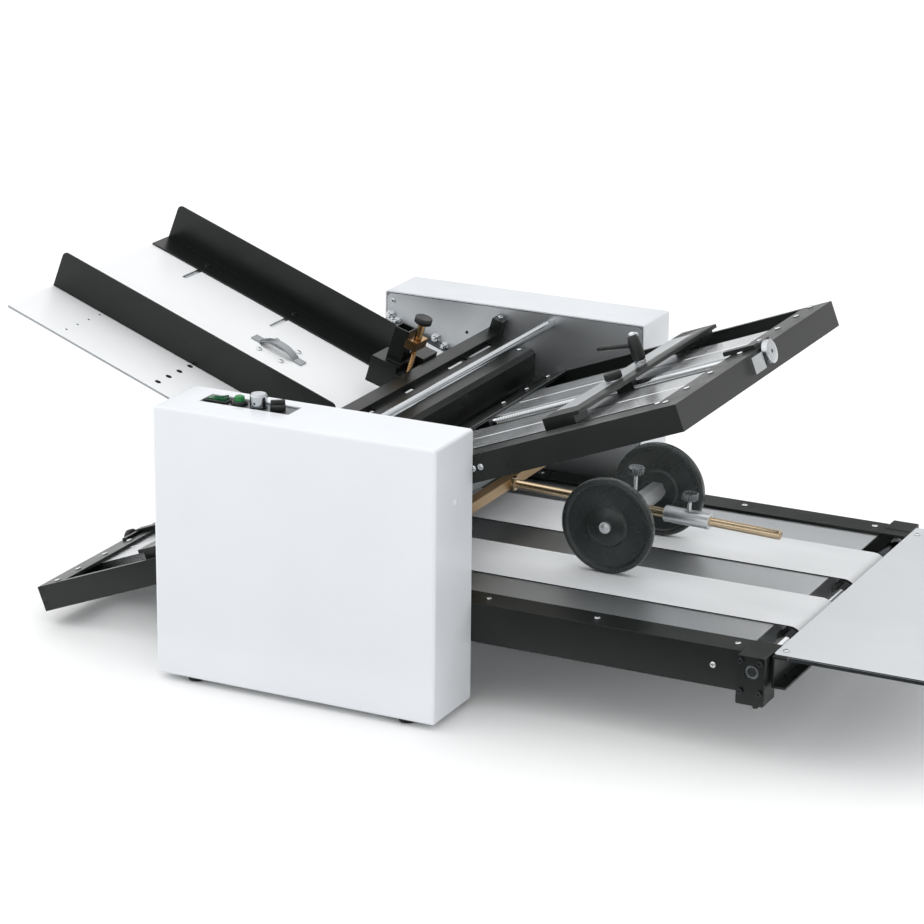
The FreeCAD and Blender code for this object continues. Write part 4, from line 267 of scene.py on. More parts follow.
def grip(obj, ribs, low, high, depth):
    """Raise every other strip of a turned piece's side between two heights, for fingers to hold."""
    edit(obj)

    def on_a_rib(centre, normal):
        turn = math.atan2(centre.y, centre.x) / math.tau * ribs
        return abs(normal.z) < 0.1 and low < centre.z < high and turn % 1 < 0.5

    pick(obj, on_a_rib)
    bpy.ops.mesh.extrude_region_shrink_fatten(TRANSFORM_OT_shrink_fatten={"value": mm(depth)})
    leave_edit()
    return obj


def block(x0, y0, z0, x1, y1, z1):
    """A block between two corners, in millimetres."""
    bpy.ops.object.select_all(action="DESELECT")
    bpy.ops.mesh.primitive_cube_add(size=1)
    middle = Vector((mm(x0 + x1) / 2, mm(y0 + y1) / 2, mm(z0 + z1) / 2))
    size = Vector((mm(x1 - x0), mm(y1 - y0), mm(z1 - z0)))
    return settle(bpy.context.object, Matrix.LocRotScale(middle, None, size))


def repeat(pattern, places):
    """Copies of a pattern at several places, each with its own mesh, joined into one object."""
    made = []
    for where in places:
        copy = pattern.copy()
        copy.data = pattern.data.copy()
        bpy.context.scene.collection.objects.link(copy)
        made.append(settle(copy, where))
    return join_all(made)


def discard(*patterns):
    """Remove the patterns whose copies are in place."""
    for pattern in patterns:
        bpy.data.objects.remove(pattern)


# %% [markdown]
# ## Finishes
# A finish is built from what the surface is. One helper adds a shader node with its settings and links, and
# another lets patterns move the colour, the gloss and the relief. Patterns read the object's own
# coordinates, which are metres, so a feature some millimetres wide has a scale of a thousand over them.

# %% Material helpers
def colour(hex_value):
    """A hex sRGB colour as linear red, green, blue and alpha."""
    parts = [int(hex_value[i:i + 2], 16) / 255 for i in (0, 2, 4)]
    return [c / 12.92 if c <= 0.04045 else ((c + 0.055) / 1.055) ** 2.4 for c in parts] + [1]


def per(size):
    """The scale of a pattern whose feature is that many millimetres wide."""
    return 1000 / size


def add(tree, kind, settings, links, output=0):
    """Add a shader node with its settings and links, and return one of its outputs."""
    node = tree.nodes.new("ShaderNode" + kind)
    for name, value in settings.items():
        if hasattr(node, str(name)):
            setattr(node, name, value)
        else:
            node.inputs[name].default_value = value
    for name, source in links.items():
        tree.links.new(source, node.inputs[name])
    return node.outputs[output]


USUAL = {"From Min": 0.3, "From Max": 0.7}  # a noise pattern keeps mostly to this range


def new_finish(name, base, roughness, metallic=0.0):
    """A material; returns it, its node tree, its shader and the object's coordinates."""
    material = bpy.data.materials.new(name)
    material.use_nodes = True
    shader = material.node_tree.nodes["Principled BSDF"]
    shader.inputs["Base Color"].default_value = colour(base)
    shader.inputs["Roughness"].default_value = roughness
    shader.inputs["Metallic"].default_value = metallic
    spot = add(material.node_tree, "TexCoord", {}, {}, "Object")
    return material, material.node_tree, shader, spot


def vary(tree, shader, tones, clouds, gloss=None, handled=None, relief=None, depth=0, strength=0.5):
    """Let patterns move a shader's colour and roughness between two values, and raise its surface."""
    dark, light = tones
    tint = add(tree, "MixRGB", {"Color1": colour(dark), "Color2": colour(light)}, {"Fac": clouds})
    tree.links.new(tint, shader.inputs["Base Color"])
    if gloss:
        worn = add(tree, "MapRange", {**USUAL, "To Min": gloss[0], "To Max": gloss[1]},
                   {"Value": handled})
        tree.links.new(worn, shader.inputs["Roughness"])
    if relief:
        bump = add(tree, "Bump", {"Distance": mm(depth), "Strength": strength}, {"Height": relief})
        tree.links.new(bump, shader.inputs["Normal"])


# %% [markdown]
# ### Powder coat
# The housings, the table and the black frames are steel with a baked powder coat. It flows into a faint
# orange peel a millimetre or two wide, and its gloss differs a little where hands and paper pass. A flat
# colour would look like plastic, so each of the three is moved by noise of its own size.

# %% Powder coats
def powder_coat(name, dark, light, roughness, peel=1.6, depth=0.006, index=1.5):
    """Baked paint: broad colour clouds, uneven gloss and a fine orange peel."""
    material, tree, shader, spot = new_finish(name, light, roughness)
    shader.inputs["IOR"].default_value = index
    clouds = add(tree, "TexNoise", {"Scale": per(110), "Detail": 3}, {"Vector": spot})
    handled = add(tree, "TexNoise", {"Scale": per(38), "Detail": 5}, {"Vector": spot})
    skin = add(tree, "TexNoise", {"Scale": per(peel), "Detail": 2}, {"Vector": spot})
    vary(tree, shader, (dark, light), clouds, (roughness - 0.03, roughness + 0.05), handled, skin, depth)
    return material


# Cool white with a soft sheen, on the housings.
housing_paint = powder_coat("white_powder_coat", "DCDFE3", "E2E5E9", 0.22)
# Paler and duller, so that the table shows no glare under the paper.
table_paint = powder_coat("pale_grey_powder_coat", "E8EAEC", "EFF1F2", 0.34)
# A clear dull grey, on the extension plate, and as painted shade in the table's outer slot.
extension_paint_and_slot_shade = powder_coat("grey_powder_coat", "C3C6C9", "CDD0D3", 0.40)
# A deep black with a green cast, which turns grey at a low angle.
black_paint = powder_coat("black_powder_coat", "0B0F0D", "111613", 0.30, peel=1.2, index=1.45)
# Blue-black enamel on the hidden motor.
motor_paint = powder_coat("motor_enamel", "1B1D20", "22252A", 0.35)
print("powder coats:", housing_paint.name, table_paint.name, extension_paint_and_slot_shade.name, black_paint.name)

# %% [markdown]
# ### Ground, brushed and drawn metal
# Grinding, rolling and drawing leave fine parallel lines, and the light spreads across them. The lines are
# noise stretched fifty times along the grain, drawn most of a millimetre apart, because real ones are too
# fine to show. A picture of brushed metal would do as well, but noise has no seams and needs no file.

# %% Lined metals
def brushed(name, dark, light, roughness, grain, line=0.7, depth=0.002, slope=0, streaks=0.12):
    """Metal with lines; grain holds how far the lines are drawn out along x, y and z."""
    material, tree, shader, spot = new_finish(name, light, roughness, 1.0)
    turn = (0, math.radians(slope), 0)
    drawn = add(tree, "Mapping", {"vector_type": "TEXTURE", "Rotation": turn, "Scale": grain},
                {"Vector": spot})
    lines = add(tree, "TexNoise", {"Scale": per(line), "Detail": 3, "Roughness": 0.6}, {"Vector": drawn})
    clouds = add(tree, "TexNoise", {"Scale": per(80), "Detail": 3}, {"Vector": spot})
    gloss = (roughness - streaks / 2, roughness + streaks / 2)
    vary(tree, shader, (dark, light), clouds, gloss, lines, lines, depth, 0.6)
    return material


# %% [markdown]
# ### Plated and polished metal
# Plating is smooth, and what tells the metals apart is their tint and how sharply they mirror the room.
# Broad faint smudges keep them from looking computed.

# %% Smooth metals
def polished(name, dark, light, roughness):
    """Plated or buffed metal: smudges change its tint and gloss a little."""
    material, tree, shader, spot = new_finish(name, light, roughness, 1.0)
    smudges = add(tree, "TexNoise", {"Scale": per(24), "Detail": 4}, {"Vector": spot})
    vary(tree, shader, (dark, light), smudges, (roughness, roughness + 0.05), smudges)
    return material


# %% [markdown]
# Sheets, slats and rods come first. The side plates are ground upright, the bed and the slats are lined
# along the paper's path, and a rod along its own length.

# %% Sheets, slats and rods
ALONG_X, ALONG_Y, ALONG_Z = (50, 1, 1), (1, 50, 1), (1, 1, 50)
# An even soft grey that takes broad shadows, on the side plates and the stops.
plate_steel = brushed("ground_steel_plate", "C8CBCE", "D6D9DB", 0.38, ALONG_Z, depth=0.0006, streaks=0.05)
# A broad blurred shine between the belts.
bed_steel = brushed("brushed_stainless_sheet", "C4C7C9", "D0D3D5", 0.42, ALONG_X, depth=0.001, streaks=0.08)
# Darker sheet, so that the controls stand out.
panel_steel = brushed("brushed_panel_sheet", "6A6D6F", "7A7D7F", 0.36, ALONG_X)
# Bright slats whose lines follow each plate's slope, and mirror the horizon in long bands.
upper_slats = brushed("extruded_aluminium", "D2D5D7", "E2E5E7", 0.27, ALONG_X, line=1.0, depth=0.00001,
                      slope=UPPER_TILT, streaks=0.01)
# The lower slats are the same aluminium, painted darker: a painted dark reflection.
lower_slats = brushed("extruded_aluminium_low_painted_reflection", "C6C9CB", "D8DBDD", 0.26, ALONG_X, line=1.0,
                      depth=0.00001, slope=LOWER_TILT, streaks=0.01)
# Sharp streaks along the tie rods.
rod_steel = brushed("drawn_steel_rod", "B2B6B9", "C6CACD", 0.13, ALONG_Y, line=0.8, depth=0.0003,
                    streaks=0.06)
# A dull satin shine on the arched strap, and on the edges of the table and of the slats' mouth strip.
strap_steel = brushed("satin_steel_strap", "94979A", "A7AAAD", 0.30, ALONG_X)
print("sheets and rods:", plate_steel.name, bed_steel.name, upper_slats.name, rod_steel.name)

# %% [markdown]
# Turned pieces come next. A lathe's lines run round a piece, which stretches each highlight upright. The
# rollers' steel is painted darker than it is, as painted shade between the ridges of their knurl.

# %% Turned and knurled metals
# Dull ends that stay light.
cap_steel = polished("turned_cap_steel", "D0D3D5", "E4E6E8", 0.42)
# A soft sparkle on the face of the upper dial.
dial_aluminium = brushed("faced_aluminium", "C6C9CB", "DADDDF", 0.26, (1, 1, 1), line=0.5)
# Steel painted dark, as painted shade of the knurl, with a coarse grain in bands, on the fold rollers.
roller_steel = brushed("knurled_roller_steel_painted_shade", "3A3C3E", "4C4F51", 0.42, ALONG_Y, line=1.0, depth=0.02)
# Tall narrow highlights on the speed knob.
knob_aluminium = brushed("turned_aluminium", "B4B8BB", "C8CBCE", 0.13, (1, 1, 30), line=0.5, depth=0.0005)
# Plain grey rings in the side plates.
bearing_steel = brushed("bearing_steel", "8B8E90", "A6A9AB", 0.25, ALONG_Y)
print("turned metals:", cap_steel.name, dial_aluminium.name, knob_aluminium.name)

# %% [markdown]
# Plated metals run from mirror chrome to dull nickel. Yellow passivation leaves the wheel's rod and bar a
# warm pale gold, and brass is a little browner.

# %% Plated and yellow metals
screw_steel = polished("zinc_plated_steel", "C0C3C5", "DCDFE1", 0.16)  # bright points on the black frames
rod_chrome = polished("polished_chrome", "D3D6D8", "E6E8EA", 0.05)  # mirrors the room sharply
satin_chrome = polished("satin_chrome", "DCDFE1", "ECEEF0", 0.34)  # a soft band along the sleeve
blackened_steel = polished("blackened_steel", "3C3F41", "4E5254", 0.30)  # dark, with a metal's shine
hub_nickel = polished("satin_nickel_hub", "E4E6E8", "F0F2F3", 0.50)  # a pale blurred hexagon
# Nickel painted darker for the knurled heads: painted shade between the ridges.
knurl_shaded_nickel = polished("knurl_shaded_nickel", "6F7375", "858A8C", 0.24)  # the knurled heads' darker grey
bright_steel = polished("nickel_plated_steel", "CACDCF", "E0E3E5", 0.09)  # sparkles on the spindles
brass = polished("machined_brass", "A48158", "BC986E", 0.20)  # brown gold of the separator
gold_rod = polished("yellow_passivated_rod", "C4AE90", "D8C3A4", 0.18)  # pale gold, streaked by the room
gold_bar = polished("yellow_passivated_bar", "BA9D78", "CEB18B", 0.36)  # the same, from a duller bar
print("plated metals:", rod_chrome.name, screw_steel.name, brass.name, gold_rod.name)

# %% [markdown]
# ### Plastics and rubber
# A moulding takes on the skin of its mould: a fine leathery grain on knobs, a smooth skin on the press
# wheels and the green buttons. One helper makes them all, because only the grain's size, its depth and the
# gloss differ.

# %% Plastics and rubber
def moulded(name, dark, light, roughness, grain=0.7, depth=0.008):
    """Moulded plastic or rubber: a fine grain in its gloss and its relief."""
    material, tree, shader, spot = new_finish(name, light, roughness)
    flow = add(tree, "TexNoise", {"Scale": per(25), "Detail": 3}, {"Vector": spot})
    grains = add(tree, "TexNoise", {"Scale": per(grain), "Detail": 3}, {"Vector": spot})
    vary(tree, shader, (dark, light), flow, (roughness - 0.04, roughness + 0.06), grains, grains, depth)
    return material


knob_black = moulded("black_knob_plastic", "151717", "1C1E1E", 0.40)  # grey haze on black knobs
wheel_plastic = moulded("press_wheel_plastic", "1F2423", "272C2B", 0.24, grain=9, depth=0.0001)  # sheen
drum_plastic = moulded("belt_drum_plastic", "0E0F10", "151617", 0.16, grain=1.4, depth=0.002)  # wet look
green_plastic = moulded("green_button_plastic", "03692A", "068438", 0.16, depth=0.001)  # clear bright green
rocker_green = moulded("dark_green_rocker_plastic", "034A26", "06592F", 0.12, depth=0.001)  # bottle green
# Glossy black on the button's collar, and as painted shade under the table's holes.
gloss_black_and_hole_shade = moulded("glossy_black_plastic_and_hole_shade", "0A0B0B", "101111", 0.08, grain=1.4, depth=0.0005)  # mirrors
gear_nylon = moulded("natural_nylon", "D8D3C4", "E4DFD1", 0.40)  # warm milky white
foot_rubber = moulded("foot_rubber", "161616", "1D1D1D", 0.75, grain=0.5, depth=0.03)  # dead matt
feed_rubber = moulded("feed_roller_rubber", "262626", "303030", 0.68, grain=0.5, depth=0.04)  # dark matt
belt_rubber = moulded("drive_belt_rubber", "1A1A1A", "222222", 0.6)  # dull black cut edges
mark_white = moulded("pointer_paint", "E4E6E6", "EEF0F0", 0.5)  # a clear white mark
print("plastics and rubber:", knob_black.name, wheel_plastic.name, green_plastic.name)

# %% [markdown]
# ### Belts
# The conveyor belts are a pale fabric with a smooth coat, and the weave shows as a faint grid. Two crossed
# wave patterns give the grid, which is simpler than modelling threads and holds at every angle.

# %% Belt fabric
def coated_fabric(name, dark, light):
    """Pale belt fabric: threads 1.4 mm apart press through a thin smooth coat."""
    material, tree, shader, spot = new_finish(name, light, 0.42)
    bands = {"Scale": per(1.4) / math.tau, "Distortion": 0.4}
    warp = add(tree, "TexWave", {**bands, "bands_direction": "Y"}, {"Vector": spot})
    weft = add(tree, "TexWave", {**bands, "bands_direction": "X"}, {"Vector": spot})
    weave = add(tree, "MixRGB", {"blend_type": "MULTIPLY", "Fac": 1}, {"Color1": warp, "Color2": weft})
    drawn = add(tree, "Mapping", {"Scale": (0.3, 1, 1)}, {"Vector": spot})
    marks = add(tree, "TexNoise", {"Scale": per(34), "Detail": 4}, {"Vector": drawn})
    vary(tree, shader, (dark, light), marks, (0.36, 0.48), marks, weave, 0.012, 0.4)
    return material


# Off-white with a faint grid, a little marked along its run.
belt_fabric = coated_fabric("belt_fabric", "CCCFD1", "D9DBDD")
print("belts:", belt_fabric.name)

# %% [markdown]
# ## Dressing the CAD nodes
# Many nodes already have the right shape, and only lack the small radius that every real edge has. A copy
# of each is merged, its flat faces are joined, and a bevel rounds its edges. The copy then stands for the
# node. A sheet's edges get a smaller radius than a machined block's.

# %% Rounded copies of the CAD nodes
def dress(node, finish, radius, angle=32):
    """A rounded copy of a CAD node."""
    obj = bpy.data.objects.new(node, nodes[node].data.copy())
    bpy.context.scene.collection.objects.link(obj)
    edit(obj)
    bpy.ops.mesh.remove_doubles(threshold=WELD)
    bpy.ops.mesh.dissolve_limited(angle_limit=math.radians(0.5))
    leave_edit()
    round_corners(obj, radius, angle=angle)
    return fit(obj, "dressed_" + node, node, finish, node)


# %% [markdown]
# Some copies need a second finish, or lose a few faces to a new piece. The faces are picked by where they
# lie on the machine, so the choice holds if the CAD model changes a little.

# %% Helpers for parts of a copy
def inside(axes, low, high):
    """A test for faces whose centre lies between two corners of some axes, in millimetres."""
    back = axes.inverted()

    def test(centre, normal):
        spot = back @ (centre / 1000) * 1000
        return all(a <= s <= b for a, s, b in zip(low, spot, high))

    return test


def repaint(obj, finish, wanted):
    """Give some faces of a dressed node another finish."""
    obj.data.materials.append(finish)
    edit(obj)
    pick(obj, wanted)
    obj.active_material_index = len(obj.data.materials) - 1
    bpy.ops.object.material_slot_assign()
    leave_edit()


def split(obj, point, across):
    """Part the faces of a dressed node along a plane."""
    edit(obj)
    bpy.ops.mesh.select_all(action="SELECT")
    bpy.ops.mesh.bisect(plane_co=point, plane_no=across)
    leave_edit()


def drop(obj, wanted):
    """Take some faces off a dressed node, where a new piece stands for them."""
    edit(obj)
    pick(obj, wanted)
    bpy.ops.mesh.delete(type="FACE")
    leave_edit()


# %% [markdown]
# The table below gives each node its finish and its radius in millimetres: tenths for folded sheet and gear
# teeth, half a millimetre for machined blocks, and nearly one for moulded and buffed pieces.

# %% Dress the nodes
FINISHES = {  # finish, edge radius, and for the grooved slats the angle that counts as an edge
    "front_cover": (housing_paint, 0.5), "rear_cover": (housing_paint, 0.5),
    "side_plates": (plate_steel, 0.3), "rubber_feet": (foot_rubber, 0.5), "tie_rods": (rod_steel, 0.3),
    "control_panel": (panel_steel, 0.2), "power_rocker": (rocker_green, 0.8),
    "power_inlet": (knob_black, 0.3), "infeed_roller": (roller_steel, 0.4),
    "main_roller": (roller_steel, 0.4), "fold_roller": (roller_steel, 0.4),
    "delivery_roller": (roller_steel, 0.4), "infeed_gear": (gear_nylon, 0.15),
    "main_gear": (gear_nylon, 0.15), "fold_gear": (gear_nylon, 0.15), "delivery_gear": (gear_nylon, 0.15),
    "main_motor": (motor_paint, 0.6), "motor_pulley": (bearing_steel, 0.3),
    "drive_belts": (belt_rubber, 0.3), "roller_bearings": (bearing_steel, 0.3),
    "roller_guard": (black_paint, 0.4), "feed_table": (table_paint, 0.4), "front_guide": (black_paint, 0.4),
    "rear_guide": (black_paint, 0.4), "pile_strap": (strap_steel, 0.3), "feed_roller": (feed_rubber, 0.5),
    "cross_beam": (black_paint, 0.5), "separator_bracket": (black_paint, 0.6),
    "separator_block": (brass, 0.5), "upper_plate_frame": (black_paint, 0.5),
    "lower_plate_frame": (black_paint, 0.5), "upper_slats": (upper_slats, 0.25, 12),
    "lower_slats": (lower_slats, 0.25, 12), "plate_strips": (black_paint, 0.4),
    "upper_stop": (black_paint, 0.5), "lower_stop": (black_paint, 0.5),
    "conveyor_frame": (black_paint, 0.5), "conveyor_bed": (bed_steel, 0.3),
    "conveyor_belts": (belt_fabric, 0.3), "drive_roller": (roller_steel, 0.4),
    "end_roller": (rod_chrome, 0.4), "end_blocks": (black_paint, 0.5),
    "extension_plate": (extension_paint_and_slot_shade, 0.3), "carrier_bar": (gold_bar, 0.6), "wheel_rod": (gold_rod, 0.4),
    "wheel_hub": (hub_nickel, 0.7), "wheel_sleeve": (satin_chrome, 0.9),
}
dressed = {node: dress(node, *look) for node, look in FINISHES.items()}
print(len(dressed), "nodes dressed")

# %% [markdown]
# Some nodes hold two materials. The end roller's chromed shaft carries two black drums and a dark journal,
# the belts have dark cut edges, the edges of the extension plate are bare, and the table's edges are painted
# in a darker satin steel.

# %% Second finishes of the conveyor and the table
END_ROLLER = place(764.3, 0, 108.5)
DRUMS, DRUM_WIDTH = (204, 392), 124
for near in DRUMS:
    drum = inside(END_ROLLER, (-16, near, -16), (16, near + DRUM_WIDTH, 16))
    repaint(dressed["end_roller"], drum_plastic, drum)
repaint(dressed["end_roller"], blackened_steel, inside(END_ROLLER, (-16, 60, -16), (16, 132, 16)))
repaint(dressed["conveyor_belts"], belt_rubber, lambda centre, normal: abs(normal.y) > 0.5)
repaint(dressed["extension_plate"], blackened_steel, lambda centre, normal: abs(normal.z) < 0.3)
# The table's edges are painted darker than its top.
table_normal = TABLE.to_3x3() @ Vector((0, 0, 1))
repaint(dressed["feed_table"], strap_steel, lambda centre, normal: abs(normal.dot(table_normal)) < 0.3)
print("the end roller has", len(dressed["end_roller"].data.materials), "materials")

# %% [markdown]
# A bright clamp block stands beside each adjusting knob. Each stop is a bare sheet between painted ends,
# with a painted edge up the slope. Its top is one face in the CAD model, so it's parted along three lines.

# %% Second finishes of the folding plates
CLAMP_BLOCK = (0.01, 322, -25), (7, 360, -2)  # two corners, in a folding plate's axes
STOP_ENDS = (FRONT_IN + 100, FRONT_IN + 462)  # the bare sheet lies between these
BARE_EDGE = -178  # where the bare sheet ends up the slope
STOP_TOP = 12
for level, axes in (("upper", UPPER), ("lower", LOWER)):
    repaint(dressed[level + "_plate_frame"], bright_steel, inside(axes, *CLAMP_BLOCK))
    stop = dressed[level + "_stop"]
    for y in STOP_ENDS:
        split(stop, axes @ Vector((0, mm(y), 0)), axes.to_3x3() @ Vector((0, 1, 0)))
    split(stop, axes @ Vector((mm(BARE_EDGE), 0, 0)), axes.to_3x3() @ Vector((1, 0, 0)))
    bare = inside(axes, (-260, STOP_ENDS[0], STOP_TOP - 0.1), (BARE_EDGE, STOP_ENDS[1], STOP_TOP + 1))
    repaint(stop, plate_steel, bare)
MOUTH_EDGE = 36 - UPPER_REACH  # the edge of the strip that ties the slats at the mouth
mouth = inside(UPPER, (MOUTH_EDGE - 1, FRONT_IN, -5), (MOUTH_EDGE + 1, REAR_IN, 1))
repaint(dressed["plate_strips"], strap_steel, mouth)
print("each stop has", len(stop.data.materials), "materials")

# %% [markdown]
# The table's holes look dark, because black strips close them from below: painted shade for the dark under
# the table. A grey strip is painted shade in the outer slot, and strips in the table's colour close the
# inner slot and the window under the arched strap. Each is a thin block against the table's underside.

# %% Strips under the table
SHEET = 1.5  # how thick the thin sheets are
STRIP_TOP = -3.1  # just under the table's own sheet
STRIPS = {  # two corners in the table's axes, and the finish
    # The black strips are painted shade under the holes, and the grey one is painted shade in the outer
    # slot.
    "small_hole_strip": (74, 112, 86, 212, gloss_black_and_hole_shade),
    "large_hole_strip": (215, 112, 234, 212, gloss_black_and_hole_shade),
    "outer_slot_strip": (72, 414, 88, 552, extension_paint_and_slot_shade),
    "inner_slot_strip": (216, 414, 232, 552, table_paint),
    "window_strip": (236, 346, 298, 382, table_paint),
}
for name, (u0, y0, u1, y1, finish) in STRIPS.items():
    strip = round_corners(block(u0, y0, STRIP_TOP - SHEET, u1, y1, STRIP_TOP), 0.2, 1)
    fit(settle(strip, TABLE), name, "feed_table", finish)
print(len(STRIPS), "strips under the table")

# %% [markdown]
# The extension plate's two long edges are folded down, which stiffens the thin sheet and makes it look
# thick. A narrow upright strip under each edge stands for the fold.

# %% Folded edges
RAIL_TOP = 127.8  # the conveyor's two channel rails
PLATE_START, PLATE_END = 804, 1013.6
for name, y in (("front_lip", FRONT_IN + 4.1), ("rear_lip", REAR_IN - 5.6)):
    lip = block(PLATE_START, y, RAIL_TOP - 4.5, PLATE_END, y + SHEET, RAIL_TOP + 0.1)
    fit(settle(round_corners(lip, 0.3, 2), place(0, 0, 0)), name, "extension_plate", blackened_steel)
print("folded edges", PLATE_END - PLATE_START, "mm long")

# %% [markdown]
# ## Screws
# Two kinds of head hold the machine together: pan heads with a cross recess, and socket heads. One of each
# is turned and its recess is cut. A pan head's dome needs several steps, because a bevel would leave a disc.

# %% Pan heads and socket heads
def cross_head():
    """A pan head 8 mm across, with a cross recess."""
    head = turned([(3.9, 0), (4, 0.3), (4, 1.1), (3.5, 1.8), (2.6, 2.2), (1.4, 2.4)], sides=24)
    for x, y in ((2.3, 0.45), (0.45, 2.3)):
        cut(head, block(-x, -y, 1.1, x, y, 3))
    return smooth(head)


def socket_head():
    """A socket head 7 mm across, with a hexagonal hole."""
    head = turned([(3.3, 0), (3.5, 0.3), (3.5, 3.5), (3.1, 4)], sides=24)
    return smooth(cut(head, turned([(1.5, 2), (1.5, 5)], sides=6)))


pan, socket = cross_head(), socket_head()
print("a pan head has", len(pan.data.polygons), "faces")

# %% [markdown]
# The heads are copied to every place and joined by finish. Each side plate has four at its corners, the
# rails have two rows on top, and each end block has four socket heads.

# %% Screws of the housings and the conveyor
pan_places = [place(x, y, z) @ FACING[side] for x in (12, 378) for z in (14, 336)
              for y, side in ((FRONT_IN, "y"), (REAR_IN, "-y"))]
pan_places += [place(x, y, RAIL_TOP) for x in (252, 404, 549.75, 732.5) for y in (120, 600)]
pan_places += [place(794.8, y, RAIL_TOP + 2) for y in (118, 587.6)]  # on the extension plate
pan_places += [place(212, y, 296) for y in (114, 606)]  # on the hood
pan_places += [place(709.8, y, 103.9) @ FACING[side]
               for y, side in ((FRONT_IN, "-y"), (REAR_IN, "y"))]  # in the rails' sides
fit(repeat(pan, pan_places), "pan_heads", "fixing_screws", screw_steel, "fixing_screws")
fit(repeat(pan, [place(390, 53, 271.25) @ FACING["x"]]), "cover_screw", "fixing_screws", housing_paint)

socket_places = [place(x, y, z) @ FACING[side] for x in (751, 775.5) for z in (122.3, 83.88)
                 for y, side in ((84.8, "-y"), (635.2, "y"))]
fit(repeat(socket, socket_places), "block_screws", "fixing_screws", blackened_steel)
beam_places = [along(BEAM, 10, y, 16) for y in (108, 612)]
fit(repeat(socket, beam_places), "beam_screws", "fixing_screws", screw_steel)
print(len(pan_places), "pan heads and", len(socket_places + beam_places), "socket heads")

# %% [markdown]
# Each folding plate's two cross strips are screwed down on the slats, in rows that aren't evenly spaced.
# The arched strap, the front bar and the rear guide have two or four heads each.

# %% Screws of the folding plates and the table
END_ROW = (30, 94, 168, 264, 330, 392, 458, 508)
MOUTH_ROW = (20, 62, 146, 361, 433, 500)
strip_places = []
for axes, reach in ((UPPER, UPPER_REACH), (LOWER, LOWER_REACH)):
    strip_places += [along(axes, -26, FRONT_IN + y, 0) for y in END_ROW]
    strip_places += [along(axes, 14 - reach, FRONT_IN + y, 0) for y in MOUTH_ROW]
strip_places.append(along(UPPER, -39, 134, 0))  # one more at the front corner
fit(repeat(pan, strip_places), "strip_screws", "plate_strips", screw_steel)
strap_places = [along(TABLE, u, y, 0) for u in (250, 285) for y in (340, 388)]
fit(repeat(pan, strap_places), "strap_screws", "feed_table", screw_steel)
bar_places = [place(400.9, FRONT_IN, 303.7) @ FACING["-y"], place(390.9, FRONT_IN, 300) @ FACING["-y"]]
fit(repeat(pan, bar_places), "bar_screws", "upper_plate_frame", screw_steel)
guide_places = [along(TABLE, u, 478.5, 2.3) for u in (80, 224)]
fit(repeat(pan, guide_places), "guide_screws", "rear_guide", cap_steel)
discard(pan, socket)
print(len(strip_places + strap_places + bar_places + guide_places), "more pan heads")

# %% [markdown]
# The table hangs on studs that come through the side plates. A stud shows as a washer, a hexagon nut and
# the end of its thread.

# %% Studs that hold the table
stud = join_all([turned([(6.6, 0), (6.6, 1.4)]), turned([(5.6, 1.4), (5.6, 5.6), (5, 6)], sides=6),
                 turned([(3, 6), (3, 9.5), (2.4, 10.2)], sides=24)])
stud_spots = ((8.8, 316.4), (18, 308.3), (79, 292.2), (92, 282.2))
stud_places = [place(x, y, z) @ FACING[side] for x, z in stud_spots
               for y, side in ((FRONT_IN, "y"), (REAR_IN, "-y"))]
fit(repeat(stud, stud_places), "table_studs", "side_plates", bright_steel)
discard(stud)
print(len(stud_places), "studs")

# %% [markdown]
# ## Controls
# Four controls stand in a row on the panel. The green mains rocker sits in a moulded frame. The start
# button is a domed cap in a dark metal ring on a glossy collar. Dome and ring are turned in small steps,
# because their highlights show every flat.

# %% Rocker frame and start button
PANEL_TOP, CONTROL_ROW = 348, 63
ROCKER, BUTTON, SPEED, SELECTOR = [place(x, CONTROL_ROW, PANEL_TOP) for x in (58, 88, 115, 142)]
rocker_frame = block(-16.2, -9.8, 0, 16.2, 9.8, 3)
cut(rocker_frame, block(-13.2, -6.8, -1, 13.2, 6.8, 4))
round_corners(rocker_frame, 0.9, 3)
fit(settle(rocker_frame, ROCKER), "rocker_frame", "control_bezels", knob_black, "control_bezels")

base = turned([(6.8, 0), (10.8, 0), (10.8, 0.8), (10.2, 3.6), (9.7, 4.2), (6.8, 4.2), (6.8, 0)],
              bored=True)
fit(settle(base, BUTTON), "button_base", "control_bezels", gloss_black_and_hole_shade)
ring = turned([(6.8, 4.2), (9.2, 4.2), (9.1, 4.7), (8.7, 5), (7.3, 4.9), (6.8, 4.5), (6.8, 4.2)],
              bored=True)
fit(settle(ring, BUTTON), "button_ring", "control_bezels", blackened_steel)
dome = turned([(6.5, -6), (6.5, 8.4), (6.2, 9.5), (5.4, 10.4), (4.2, 11), (2.6, 11.3), (1.2, 11.4)])
fit(settle(dome, BUTTON), "start_dome", "start_button", green_plastic, "start_button")
print("controls:", rocker_frame.name, base.name, ring.name, dome.name)

# %% [markdown]
# The speed knob is turned from aluminium, with a raised rim round its top and a dark grub screw in its side.
# The selector is moulded: a ribbed disc with a grip bar across its top, and a white line that points to the
# setting.

# %% Speed knob and selector
knob = turned([(3, -14), (3, 1.2), (10.7, 1.2), (11, 1.6), (11, 14.9), (9.4, 17.4), (9, 17.5),
               (8.4, 17.4), (8, 17.1)], sides=64)
across = Matrix.Translation((0, 0, mm(7))) @ FACING["-y"]  # out of the knob's front, 7 mm up
cut(knob, settle(turned([(1.7, 7), (1.7, 14)], sides=20), across))
fit(settle(smooth(knob), SPEED), "turned_speed_knob", "speed_knob", knob_aluminium, "speed_knob")
repaint(knob, knob_black, inside(SPEED, (-1.8, -10.4, 7), (1.8, -6.5, 11)))
skirt = turned([(3.2, 0.3), (10.8, 0.3), (10.8, 1.2), (3.2, 1.2), (3.2, 0.3)], bored=True)
fit(settle(skirt, SPEED), "speed_knob_base", "speed_knob", knob_black)

